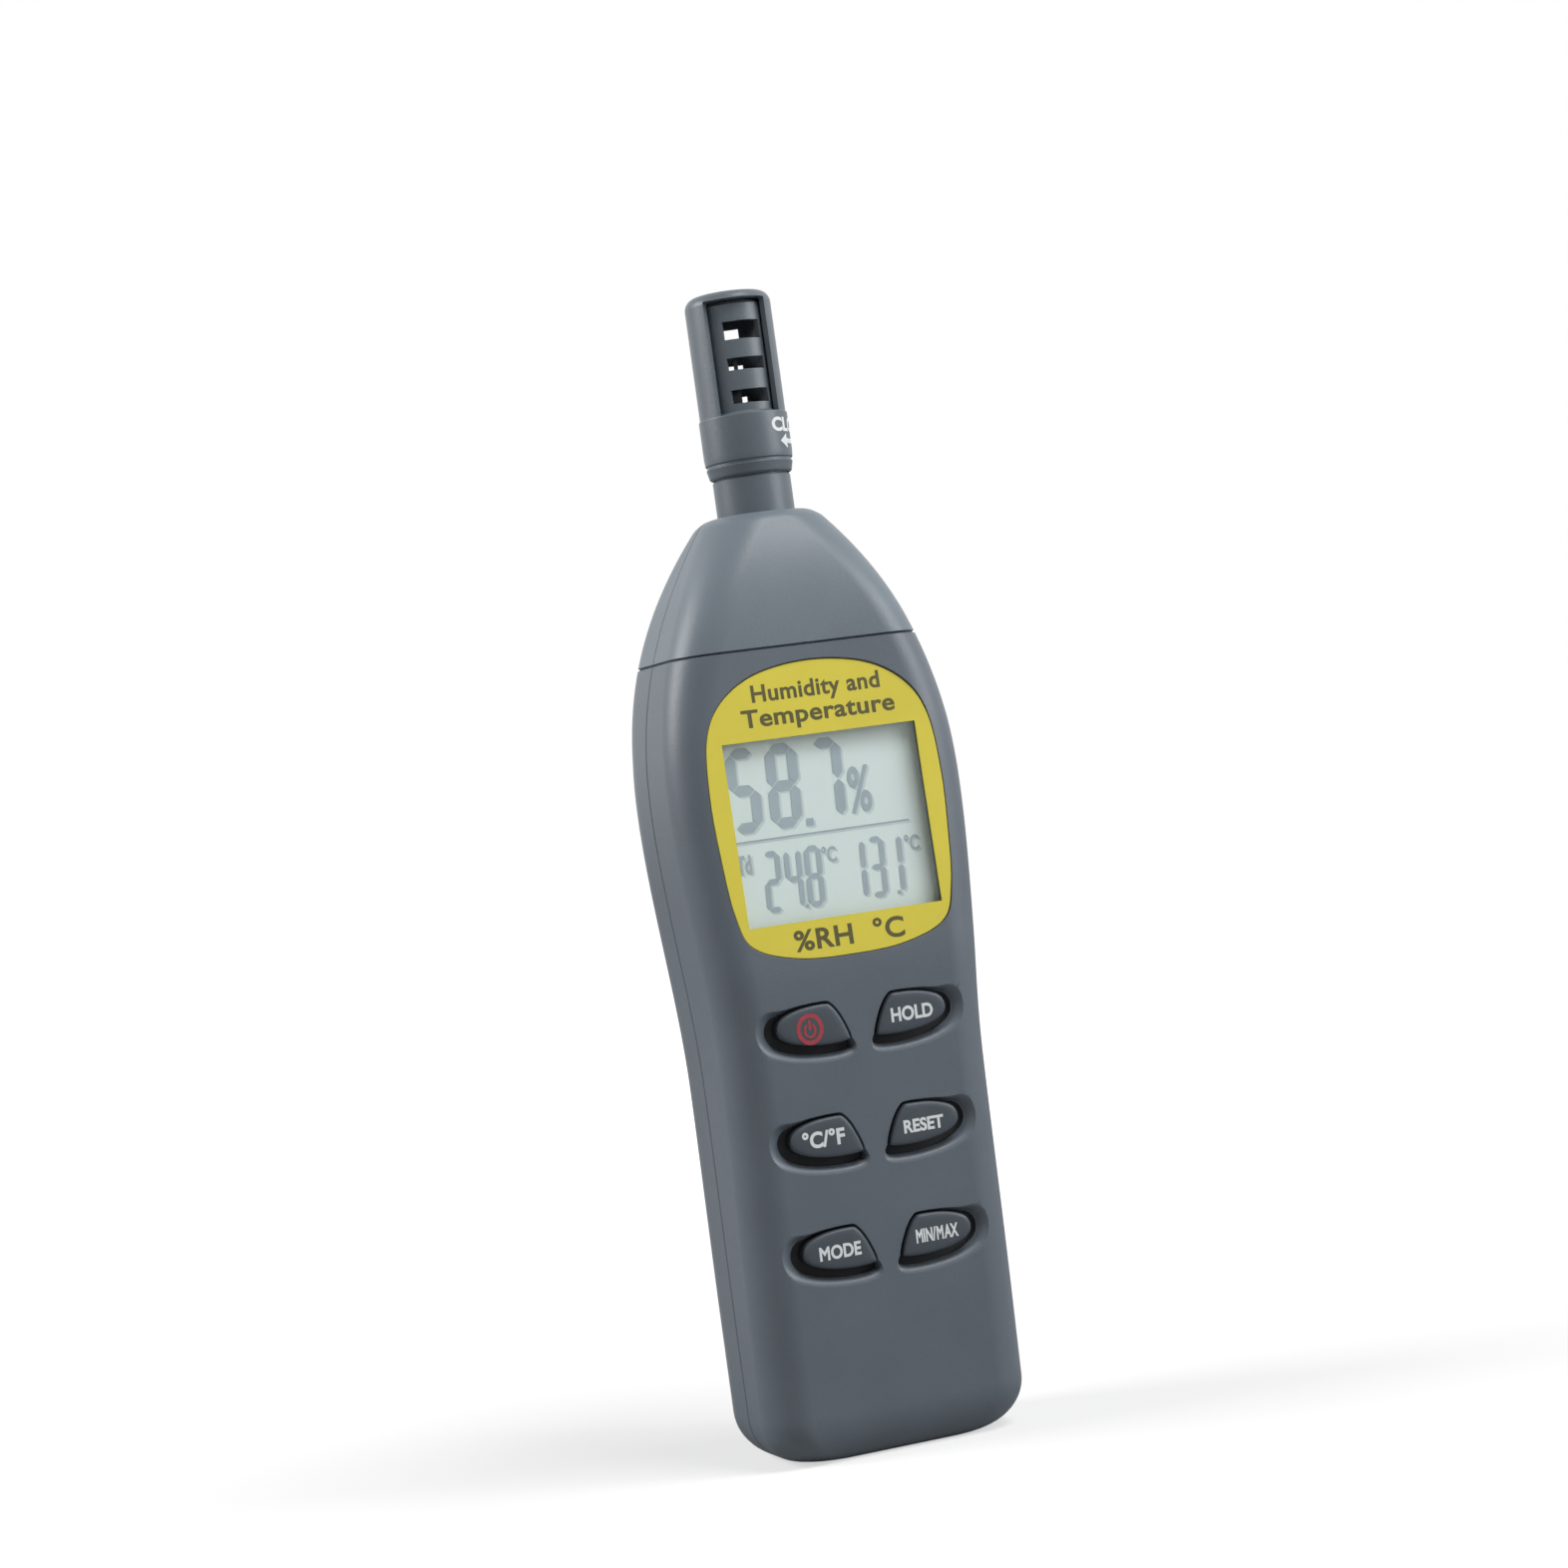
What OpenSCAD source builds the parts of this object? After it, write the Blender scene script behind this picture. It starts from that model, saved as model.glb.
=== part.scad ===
// Hand-held digital dew point meter: a moulded case in two halves, a tapered nose in two halves,
// a slotted sensor sleeve under a twist shutter, a display, six keys and a battery bay.
// X points right seen from the front, the front looks towards -Y and Z points up.
// The origin is the middle of the flat bottom, and the halves meet in the plane Y = 0.

/* [Case outline] */
// Height of the seam between case and nose
case_top = 117.1; // [114:0.1:119]
// Height of the nose's flat top
nose_top = 137.2; // [135:0.1:139]
// Width at the foot
foot_w = 40.7; // [38:0.1:43]
// Width at the waist, between the keys
waist_w = 40.3; // [38:0.1:43]
// Greatest width, at the display
shoulder_w = 44.8; // [42:0.1:48]
// Width of the nose at its top
nose_w = 16.8; // [16:0.1:20]
// Height where the waist is narrowest
waist_z = 55; // [45:1:62]
// Height of the greatest width
shoulder_z = 96; // [90:1:102]
// Rounding of the foot's corners, seen from the front
foot_r = 7; // [5:0.5:9]
// Wall thickness of case and nose
wall = 2; // [1.6:0.1:2.4]

/* [Case depth] */
// Depth of the front half at the foot
foot_d = 10.7; // [10:0.1:12]
// Lean of the keypad face, its top towards the user
keypad_tilt = 3.4; // [2:0.1:4]
// Lean of the display face, its top away from the user
display_tilt = 2.1; // [1:0.1:3]
// Height where the two faces meet
crease_z = 70.5; // [69:0.5:71]
// Depth of the rear half
rear_depth = 16; // [15.5:0.1:18]
// Depth of the nose at its top, each way
nose_d = 8; // [7.8:0.1:9]
// Rounding of the front edges
front_edge_r = 6; // [4:0.5:7]
// Rounding of the rear edges
rear_edge_r = 11; // [8:0.5:11.5]

/* [Sensor head] */
// Height over all
total_h = 170; // [169:0.1:172]
// Diameter of the neck
neck_dia = 11.5; // [11:0.1:11.6]
// Height of the shoulder where the neck ends
neck_top = 142.8; // [142:0.1:143.5]
// Diameter of the slotted sleeve
sleeve_dia = 10.8; // [10.4:0.1:10.9]
// Running clearance between sleeve and shutter, on the radius
run_gap = 0.08; // [0.04:0.01:0.1]
// Diameter of the shutter beside its windows
shutter_dia = 12.7; // [12.5:0.1:12.9]
// Diameter of the shutter's grip ring
ring_dia = 13.1; // [12.9:0.1:13.6]
// Height of the grip ring's top, where the windows begin
ring_top = 151.9; // [151:0.1:152.4]
// Angle that each window spans
window_angle = 92; // [80:1:96]
// Turn of the shutter at rest, from fully open
shutter_rest = -8; // [-20:1:0]
// Angle that each air slot spans
slot_angle = 68; // [60:1:72]
// Bottoms and tops of the air slots
slots = [[153.4, 155.4], [158.3, 160.1], [162.8, 165.5]];

/* [Display] */
// Half width of the part of the glass that shows
lcd_half_w = 14.9; // [13:0.1:15]
// Bottom of the part that shows, above the crease
lcd_low = 7.2; // [7:0.1:9]
// Top of the part that shows, above the crease
lcd_high = 33.6; // [30:0.1:34]
// Depth of the pocket for lens and label
pocket_d = 1.4; // [1.2:0.1:1.5]
// Thickness of the lens
lens_t = 0.9; // [0.7:0.1:1]
// Thickness of the label
label_t = 0.25; // [0.2:0.05:0.3]

/* [Keys] */
// Heights of the three rows of keys
key_rows = [30.2, 46.3, 62.4];
// Travel of a key
key_travel = 0.8; // [0.5:0.1:1]
// How far a key stands out of the face
key_proud = 0.7; // [0.4:0.1:1]
// Depth of the scooped recess round a key
scoop_d = 1.3; // [0.8:0.1:1.4]
// Extra gap beside a key, towards the case's side
side_gap = 1.35; // [0:0.05:1.4]
// Extra gap below a key
low_gap = 1.25; // [0:0.05:1.3]

/* [Battery bay] */
// Bottom of the bay
bay_z = 6; // [5.5:0.1:7]
// Diameter of a cell
cell_dia = 10.4; // [10:0.1:10.5]
// Length of a cell with its nub
cell_len = 44.5; // [44:0.1:44.5]
// Thickness of the door
door_t = 1.3; // [1.1:0.1:1.4]
// Bottom edge of the door
door_z = 8; // [7.5:0.1:9]

/* [Hidden] */
$fn = 64;

case_grey = "#5f6770";
nose_grey = "#82909a";
key_grey = "#3c444c";
head_grey = "#565e66";

front = -1;
rear = 1;
foot_z = 20;
foot_depth_share = 4 / 7;
crease_soft = 0.12;
rear_bend_z = 104;
nose_edge_r = 1.4;
nose_corner_r = 7.6;
seam_groove = 0.25;
floor_z = 2.4;
arc_steps = 7;

// Top of a key's flange above the keypad face, and its thickness
key_flange_top = -wall - 0.12;
key_flange_t = 0.85;
// Height of a dome above the mat, which stops short of the key by its travel
dome_h = 2.2;
// Outline and depths of the display glass below the display face
glass = [[-15.9, 4.6], [15.9, 4.6], [15.9, 36.2], [-15.9, 36.2]];
glass_top = 2.05;
glass_bottom = 4.15;

bay_floor = 3.45;
bay_half_w = 11.1;
cell_x = 5.5;
cell_y = 8.7;
plate_t = 0.5;
spring_len = 3.9;
bay_len = 2 * cell_len + spring_len + 2 * plate_t + 0.3;
bay_top = bay_z + bay_len;
low_cell = bay_z + plate_t + spring_len;
wire_r = 0.3;
spring_turns = 3;
spring_steps = 9;
hinge_z = bay_top + 2.4;
hinge_r = 1.3;
hinge_y = rear_depth - hinge_r;
hinge_half_w = 10.4;
door_half_w = 13.5;
door_top = hinge_z - 2.2;
door_gap = 0.2;
door_corner_r = 3;

screws = [[-15.5, 12], [15.5, 12], [-15, 111], [15, 111]];
board_y = -6.2;
board_t = 1.2;
mat_t = 1;
plug_z = 131;
flange_z = 132.6;
flange_t = 1.4;
sleeve_bore = 4.3;
// How far the sleeve stands back behind the shutter's windows
sleeve_relief = 0.3;
board_turn = -20;

// Smooth step from 0 to 1, and straight step from a to b
function ease(t) = t * t * (3 - 2 * t);
function ramp(z, a, b) = min(max((z - a) / (b - a), 0), 1);
function fall(z, a, power) = pow(ramp(z, a, nose_top), power);

// Outline of case and nose: half width and depths at height z
function half_w(z) =
    z < waist_z ? foot_w / 2 + (waist_w - foot_w) / 2 * ease(ramp(z, foot_z, waist_z))
    : z < shoulder_z ? waist_w / 2 + (shoulder_w - waist_w) / 2 * ease(ramp(z, waist_z, shoulder_z))
    : shoulder_w / 2 - (shoulder_w - nose_w) / 2 * fall(z, shoulder_z, 2.15);
function keypad_face(z) = foot_d + z * tan(keypad_tilt);
function display_face(z) = keypad_face(crease_z) - (z - crease_z) * tan(display_tilt);
function face(z) =
    let (a = keypad_face(z), b = display_face(z))
    (a + b) / 2 - sqrt(pow((a - b) / 2, 2) + pow(crease_soft, 2));
function front_d(z) = face(min(z, case_top)) - (face(case_top) - nose_d) * fall(z, case_top, 2.2);
function rear_d(z) = rear_depth - (rear_depth - nose_d) * fall(z, rear_bend_z, 3);
function edge_r(side, z) =
    let (r = side == front ? front_edge_r : rear_edge_r)
    r + (nose_corner_r - r) * ramp(z, rear_bend_z, nose_top);
function foot_inset(z) = z < foot_r ? foot_r - sqrt(pow(foot_r, 2) - pow(foot_r - z, 2)) : 0;
function top_inset(z) =
    let (up = z - nose_top + nose_edge_r)
    up > 0 ? nose_edge_r - sqrt(max(pow(nose_edge_r, 2) - pow(up, 2), 0)) : 0;

// Half a cross-section, from +X round the front or rear to -X, as points [x, depth]
function half_loop(side, z, inset, groove = 0) =
    let (
        w = half_w(z) - foot_inset(z) - top_inset(z) - inset,
        full_d = side == front ? front_d(z) : rear_d(z),
        d = full_d - foot_inset(z) * foot_depth_share - top_inset(z) - inset,
        r = max(min(edge_r(side, z) - inset, w - 0.5, d - 0.5), 0.6),
        corner = [for (i = [0:arc_steps]) 90 * i / arc_steps],
        right = concat(
            [[w - groove, 0], [w, seam_groove]],
            [for (a = corner) [w - r + r * cos(a), d - r + r * sin(a)]]
        ),
        n = len(right)
    )
    concat(right, [for (i = [n - 1:-1:0]) [-right[i].x, right[i].y]]);

// One ring of a moulded half: the outer loop, then back along the inner loop, or along the
// parting plane where the half is solid
function ring(side, level) =
    let (
        z = level[0],
        outer = half_loop(side, z, level[2], seam_groove),
        inner = half_loop(side, z, wall),
        n = len(outer),
        w = inner[0].x
    )
    concat(
        [for (p = outer) [p.x, side * p.y, z]],
        [for (i = [n - 1:-1:0])
            level[1] ? [inner[i].x, side * inner[i].y, z] : [w - 2 * w * i / (n - 1), 0, z]]
    );

// A moulded half from a list of levels [height, hollow, extra inset]
module moulded_half(side, levels) {
    rings = [for (level = levels) ring(side, level)];
    n = len(rings[0]);
    half = n / 2;
    last = (len(levels) - 1) * n;
    walls = [for (i = [0:len(levels) - 2], j = [0:n - 1])
        let (a = i * n + j, b = i * n + (j + 1) % n) each [[a, b, b + n], [a, b + n, a + n]]];
    foot = [for (j = [0:half - 2]) let (k = n - 1 - j)
        each j < half / 2 ? [[j + 1, j, k], [j + 1, k, k - 1]] : [[j + 1, j, k - 1], [j, k, k - 1]]];
    top = [for (f = foot) [last + f[2], last + f[1], last + f[0]]];
    faces = concat(walls, foot, top);
    flipped = [for (f = faces) [f[2], f[1], f[0]]];
    polyhedron(points = [for (r = rings) each r], faces = side == front ? faces : flipped);
}

// A closed solid through rings of points, each end closed on its middle
module loft(rings) {
    n = len(rings[0]);
    m = len(rings);
    walls = [for (i = [0:m - 2], j = [0:n - 1])
        let (a = i * n + j, b = i * n + (j + 1) % n) each [[a, a + n, b + n], [a, b + n, b]]];
    ends = [for (j = [0:n - 1])
        each [[m * n, j, (j + 1) % n], [m * n + 1, (m - 1) * n + (j + 1) % n, (m - 1) * n + j]]];
    polyhedron(
        points = concat([for (r = rings) each r], [mean(rings[0]), mean(rings[m - 1])]),
        faces = concat(walls, ends)
    );
}
function mean(r) = [for (p = r) 1] * r / len(r);

// A closed curve through corner points, and the same curve moved out along its normals
function curve_point(a, b, c, d, t) =
    (2 * b + (c - a) * t + (2 * a - 5 * b + 4 * c - d) * t * t
        + (3 * b - a - 3 * c + d) * t * t * t) / 2;
function closed_curve(p, steps) =
    let (n = len(p))
    [for (i = [0:n - 1], s = [0:steps - 1])
        curve_point(p[(i + n - 1) % n], p[i], p[(i + 1) % n], p[(i + 2) % n], s / steps)];
function normal(p, i) =
    let (n = len(p), t = p[(i + 1) % n] - p[(i + n - 1) % n])
    [t.y, -t.x] / norm(t);
function grown(p, amount, left = 0, down = 0) =
    [for (i = [0:len(p) - 1]) let (out = normal(p, i))
        p[i] + out * (amount + left * pow(min(out.x, 0), 2) + down * pow(min(out.y, 0), 2))];
function shrunk(p, share) = let (middle = mean(p)) [for (q = p) middle + (q - middle) * share];

function case_heights() = concat(
    [for (z = [foot_r + 5:8:crease_z - 6]) z],
    [for (z = [crease_z - 4:2.5:crease_z + 6]) z],
    [for (z = [crease_z + 10:5:case_top - 2]) z]
);
function foot_heights() = [for (a = [0:15:90]) foot_r * (1 - cos(a))];
function case_levels() = concat(
    [for (z = foot_heights()) if (z < floor_z) [z, false, 0]],
    [[floor_z, false, 0], [floor_z + 0.3, true, 0]],
    [for (z = foot_heights()) if (z > floor_z + 0.3) [z, true, 0]],
    [for (z = case_heights()) [z, true, 0]],
    [[case_top - 0.3, true, 0], [case_top, true, seam_groove]]
);
function nose_levels() = concat(
    [[case_top, true, seam_groove], [case_top + 0.3, true, 0]],
    [for (z = [case_top + 3:3:plug_z - 1]) [z, true, 0]],
    [[plug_z - 0.3, true, 0], [plug_z, false, 0]],
    [for (z = [plug_z + 2, plug_z + 4]) [z, false, 0]],
    [for (a = [0:22.5:90]) [nose_top - nose_edge_r * (1 - sin(a)), false, 0]]
);

// The rear half as a solid, inset from its outside
module rear_core(inset) {
    loft([for (k = [0:14]) let (z = 3 + k * (case_top - 3.5) / 14)
        let (loop = half_loop(rear, z, inset), side = loop[0].x)
        concat([for (p = loop) [p.x, p.y, z]], [[-side, -1, z], [side, -1, z]])]);
}

module y_cylinder(r, x, z, low, high) {
    translate([x, low, z]) rotate([-90, 0, 0]) cylinder(r = r, h = high - low);
}

module block(low, high) {
    translate(low) cube(high - low);
}

// Places a shape drawn face up on the display face, with its depth measured inwards
module on_display(depth) {
    translate([0, -keypad_face(crease_z), crease_z])
        rotate([90 - display_tilt, 0, 0])
            translate([0, 0, -depth])
                children();
}

module plate_on_display(outline, top_depth, bottom_depth) {
    on_display(bottom_depth) linear_extrude(bottom_depth - top_depth) polygon(outline);
}

// The label's outline, right half drawn and mirrored, measured up from the crease
label_half = [[8.2, 2.1], [14.7, 4.5], [16.7, 9.5], [17.5, 17.5], [17.8, 26], [17, 34.5],
    [14.1, 39.6], [8.4, 43]];
label_points = concat([[0, 1.6]], label_half, [[0, 44.2]],
    [for (i = [len(label_half) - 1:-1:0]) [-label_half[i].x, label_half[i].y]]);
label_outline = closed_curve(label_points, 3);
lcd_window = [[-lcd_half_w, lcd_low], [lcd_half_w, lcd_low], [lcd_half_w, lcd_high],
    [-lcd_half_w, lcd_high]];

// A key's outline for the left column
key_points = [[-13, 0.35], [-12.3, -1], [-9.8, -2.05], [-6, -2.55], [-2.6, -2.4], [-2.2, -1.7],
    [-3.3, 1.1], [-4.5, 2.85], [-5.6, 3.25], [-9.3, 3], [-12.15, 2]];
key_outline = closed_curve(key_points, 3);

function on_keypad(outline, row, height) =
    [for (p = outline) [p.x, -keypad_face(row + p.y) - height, row + p.y]];

// The scoop round a key widens towards the case's side and towards the foot
module key_scoop(row) {
    loft([
        on_keypad(grown(key_outline, 0.2, side_gap + 0.05, low_gap + 0.05), row, -scoop_d),
        on_keypad(grown(key_outline, 0.3, 2.3, 1.45), row, -scoop_d * 0.6),
        on_keypad(grown(key_outline, 0.4, 3.2, 1.8), row, 0),
        on_keypad(grown(key_outline, 0.5, 4.2, 2.5), row, 0.6)
    ]);
}

module key_hole(row) {
    edge = grown(key_outline, 0.15, side_gap, low_gap);
    loft([on_keypad(edge, row, -wall - 1), on_keypad(edge, row, 0.3)]);
}

module key(row) {
    flange = grown(key_outline, 0.55, side_gap, low_gap);
    color(key_grey) {
        loft([
            on_keypad(flange, row, key_flange_top - key_flange_t),
            on_keypad(flange, row, key_flange_top),
            on_keypad(key_outline, row, key_flange_top),
            on_keypad(key_outline, row, key_proud - 0.45),
            on_keypad(shrunk(key_outline, 0.975), row, key_proud - 0.2),
            on_keypad(shrunk(key_outline, 0.93), row, key_proud - 0.05),
            on_keypad(shrunk(key_outline, 0.84), row, key_proud)
        ]);
        y_cylinder(1.5, -7.4, row, -keypad_face(row) - key_flange_top + 0.4, board_y - dome_h - 1);
    }
}

module front_shell() {
    color(case_grey) difference() {
        union() {
            moulded_half(front, case_levels());
            for (s = screws)
                y_cylinder(2.4, s.x, s.y, -front_d(s.y) + 1.6, -0.2);
            for (x = [-16, 16], z = [21, 69])
                y_cylinder(1.2, x, z, -front_d(z) + 1.6, board_y - 0.05);
            block([-5, -front_d(case_top) + 1.4, 109], [5, -9.8, case_top - 0.2]);
            block([-5, -10.8, 109], [5, -9.8, case_top + 3.9]);
        }
        for (s = screws)
            y_cylinder(1.3, s.x, s.y, -front_d(s.y) + 3, 1);
        plate_on_display(grown(label_outline, 0.12), -2, pocket_d);
        plate_on_display(grown_window(0.4), -2, 6);
        for (row = key_rows, flip = [0, 1])
            mirror([flip, 0, 0]) {
                key_scoop(row);
                key_hole(row);
            }
    }
}
function grown_window(by) =
    [[-lcd_half_w - by, lcd_low - by], [lcd_half_w + by, lcd_low - by],
        [lcd_half_w + by, lcd_high + by], [-lcd_half_w - by, lcd_high + by]];

// The door's outline from behind, with the tab that carries its hinge, as a block through the wall.
// The opening leaves room above the door's shoulders, which swing up as it tilts out.
module door_plan(grow, above = 0) {
    w = door_half_w + grow;
    r = door_corner_r + grow;
    low = door_z - grow;
    high = door_top + above;
    corner = [for (i = [0:6]) r * [1 - sin(15 * i), 1 - cos(15 * i)]];
    right = concat([for (c = corner) [w - c.x, low + c.y]],
        [for (i = [6:-1:0]) [w - corner[i].x, high - corner[i].y]]);
    translate([0, 30, 0]) rotate([90, 0, 0]) linear_extrude(30)
        polygon(concat(right, [for (i = [len(right) - 1:-1:0]) [-right[i].x, right[i].y]]));
    block([-hinge_half_w - grow, 0, door_top - 1], [hinge_half_w + grow, 30, hinge_z]);
}

module rear_shell() {
    color(case_grey) difference() {
        union() {
            moulded_half(rear, case_levels());
            intersection() {
                rear_core(1);
                union() {
                    block([-bay_half_w - 1.2, bay_floor - 1.2, bay_z - 1.2],
                        [bay_half_w + 1.2, 20, bay_top + 1.2]);
                    block([-bay_half_w - 1.2, 11.5, bay_top], [bay_half_w + 1.2, 20, bay_top + 4.6]);
                    for (s = screws)
                        y_cylinder(3.4, s.x, s.y, 0.2, 20);
                }
            }
            block([-4, 11.6, 109], [4, 14.4, case_top - 0.6]);
            block([-4, 11.6, 109], [4, 12.6, case_top + 3.5]);
        }
        block([-bay_half_w, bay_floor, bay_z], [bay_half_w, 14.05, bay_top]);
        block([-6.5, 1, bay_top - 0.7], [6.5, 4, bay_top]);
        block([-bay_half_w, 12, door_z + 1.2], [bay_half_w, 30, bay_top]);
        difference() {
            door_plan(door_gap, 0.55);
            rear_core(door_t + 0.15);
        }
        translate([-hinge_half_w - 0.15, hinge_y, hinge_z]) rotate([0, 90, 0])
            cylinder(r = hinge_r + 0.15, h = 2 * hinge_half_w + 0.3);
        translate([0, rear_depth + 4.8, door_z]) sphere(r = 6);
        for (s = screws) {
            y_cylinder(1.5, s.x, s.y, -1, 20);
            y_cylinder(2.35, s.x, s.y, 8.5, 20);
        }
    }
}

module battery_door() {
    color(case_grey) difference() {
        union() {
            difference() {
                intersection() {
                    rear_core(0);
                    door_plan(0);
                }
                rear_core(door_t);
            }
            translate([-hinge_half_w, hinge_y, hinge_z]) rotate([0, 90, 0])
                cylinder(r = hinge_r, h = 2 * hinge_half_w);
            block([-1.4, 12.8, door_z + 1.4], [1.4, rear_depth - door_t + 0.2, door_z + 2.6]);
        }
        for (z = [door_z + 5:1.8:door_z + 14])
            block([-6, rear_depth - 0.4, z], [6, rear_depth + 1, z + 0.8]);
    }
}

module nose_half(side) {
    color(nose_grey) difference() {
        moulded_half(side, nose_levels());
        translate([0, 0, plug_z - 5]) cylinder(r = neck_dia / 2 + 0.05, h = 20);
        translate([0, 0, flange_z - 0.05]) cylinder(r = 7.1, h = flange_t + 0.1);
    }
}
module nose_front() { nose_half(front); }
module nose_rear() { nose_half(rear); }

// A wedge of the given angle that opens towards -Y
module wedge(angle, low, high) {
    reach = 12;
    translate([0, 0, low]) linear_extrude(high - low)
        polygon([[0, 0], for (a = [-angle / 2:angle / 8:angle / 2 + 0.01])
            [reach * sin(a), -reach * cos(a)]]);
}

module sensor_sleeve() {
    r = sleeve_dia / 2;
    top = total_h - 1.6;
    color(head_grey) difference() {
        rotate_extrude() polygon([
            [0, 146], [sleeve_bore + 0.1, 146], [sleeve_bore, 130], [neck_dia / 2, 130],
            [neck_dia / 2, flange_z], [7, flange_z], [7, flange_z + flange_t],
            [neck_dia / 2, flange_z + flange_t], [neck_dia / 2, neck_top], [r, neck_top],
            [r, neck_top + 1.2], [r - 0.25, neck_top + 1.5], [r - 0.25, neck_top + 2],
            [r, neck_top + 2.3], [r, ring_top + 0.1], [r - sleeve_relief, ring_top + 0.4],
            [r - sleeve_relief, top - 0.4], [r - sleeve_relief - 0.4, top], [0, top]
        ]);
        translate([0, 0, 147.5]) cylinder(r = sleeve_bore, h = top - 1.2 - 147.5);
        for (s = slots, turn = [0, 180])
            rotate([0, 0, turn]) wedge(slot_angle, s[0], s[1]);
        rotate([0, 0, board_turn]) block([-0.35, -2.85, 140], [0.35, 2.85, 150]);
    }
}

module shutter() {
    bore = sleeve_dia / 2 + run_gap;
    r = shutter_dia / 2;
    ring_r = ring_dia / 2;
    low = neck_top + 0.2;
    color(head_grey) rotate([0, 0, shutter_rest]) difference() {
        rotate_extrude() polygon([
            [bore, low], [ring_r - 0.55, low], [ring_r - 0.15, low + 1.6], [ring_r - 0.3, low + 1.7],
            [ring_r - 0.3, low + 2.05], [ring_r - 0.08, low + 2.2], [ring_r, low + 3.2],
            [ring_r, ring_top - 0.2], [ring_r - 0.2, ring_top], [r, ring_top],
            [r, total_h - 1.8], [r - 0.25, total_h - 0.9], [r - 0.8, total_h - 0.25],
            [r - 1.7, total_h], [0, total_h], [0, total_h - 1.3], [bore, total_h - 1.3],
            [bore, low + 1.85], [bore - 0.18, low + 1.6], [bore - 0.18, low + 1.45],
            [bore, low + 1.2]
        ]);
        for (turn = [0, 180])
            rotate([0, 0, turn]) wedge(window_angle, ring_top, total_h - 1.3);
    }
}

module sensor_board() {
    color("#2f6b3c") rotate([0, 0, board_turn]) block([-0.3, -2.8, 124], [0.3, 2.8, 160.9]);
}

module humidity_sensor() {
    color("#26304a") rotate([0, 0, board_turn]) block([-1.4, -1.6, 153.6], [-0.3, 1.6, 157]);
}

module thermistor() {
    color("#d8dce0") rotate([0, 0, board_turn]) {
        translate([1.3, -1.2, 153.3]) sphere(r = 0.7);
        for (y = [-1.55, -0.85])
            translate([0.55, y, 148.5]) rotate([0, 8, 0]) cylinder(r = 0.14, h = 4.4);
        block([0.3, -1.9, 148], [0.8, -0.5, 149]);
    }
}

module display_label() {
    depth = pocket_d - lens_t;
    color("#e1d046") difference() {
        plate_on_display(label_outline, depth - label_t, depth);
        plate_on_display(lcd_window, depth - 1, depth + 1);
    }
}

module display_lens() {
    color([0.85, 0.9, 0.92, 0.35])
        plate_on_display(grown(label_outline, -0.05), pocket_d - lens_t, pocket_d);
}

module lcd_panel() {
    color("#bdccd0") {
        plate_on_display(glass, glass_top + 1.05, glass_bottom);
        plate_on_display([for (p = glass) [p.x, max(p.y, 7)]], glass_top, glass_top + 1.05);
    }
}

module lcd_holder() {
    color("#e8e8e4") difference() {
        block([-17.2, -13, crease_z + 3.6], [17.2, board_y - 0.05, crease_z + 37.4]);
        on_display(3) block([-20, -5, 0], [20, 50, 20]);
        on_display(glass_bottom + 0.05) block([-15.95, 4.5, 0], [15.95, 36.3, 20]);
        block([-14.5, -20, crease_z + 8.5], [14.5, 0, crease_z + 32.5]);
        for (z = [5.1, 33.9])
            block([-15.5, -20, crease_z + z - 0.05], [15.5, 0, crease_z + z + 2.05]);
    }
}

module zebra_strips() {
    color("#d9a7b0") difference() {
        for (z = [5.1, 33.9])
            block([-15.4, -14, crease_z + z], [15.4, board_y - 0.05, crease_z + z + 2]);
        on_display(glass_bottom + 0.05) block([-20, -5, 0], [20, 50, 20]);
    }
}

module main_board() {
    color("#2f6b3c") difference() {
        block([-16.6, board_y, 7], [16.6, board_y + board_t, 108]);
        for (s = screws)
            y_cylinder(2.7, s.x, s.y, board_y - 1, board_y + board_t + 1);
    }
}

module main_chip() {
    color("#1c1d20") block([-6, board_y + board_t, 84], [6, board_y + board_t + 1.6, 96]);
}

module keypad_mat() {
    color("#9aa3a8") {
        block([-15, board_y - 1.05, 25], [15, board_y - 0.05, 68]);
        for (row = key_rows, x = [-7.4, 7.4])
            y_cylinder(2.6, x, row, board_y - dome_h - 0.05, board_y - 0.5);
    }
}

module key_power() { key(key_rows[2]); }
module key_units() { key(key_rows[1]); }
module key_mode() { key(key_rows[0]); }
module key_hold() { mirror([1, 0, 0]) key(key_rows[2]); }
module key_reset() { mirror([1, 0, 0]) key(key_rows[1]); }
module key_min_max() { mirror([1, 0, 0]) key(key_rows[0]); }

// A cell that stands with its nub up, or down if flipped
module cell(x, z, flipped) {
    r = cell_dia / 2;
    nub_h = 1;
    profile = [[0, 0], [r - 0.5, 0], [r, 0.4], [r, cell_len - nub_h - 0.4],
        [r - 0.5, cell_len - nub_h], [2.7, cell_len - nub_h], [2.5, cell_len], [0, cell_len]];
    color("#c9ccd0") translate([x, cell_y, z + (flipped ? cell_len : 0)])
        rotate([flipped ? 180 : 0, 0, 0])
            rotate_extrude() polygon(profile);
}
module cell_1() { cell(-cell_x, low_cell + 0.1, false); }
module cell_2() { cell(-cell_x, low_cell + cell_len + 0.2, false); }
module cell_3() { cell(cell_x, bay_z + plate_t + 0.1, true); }
module cell_4() { cell(cell_x, bay_z + plate_t + cell_len + 0.2, true); }

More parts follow.
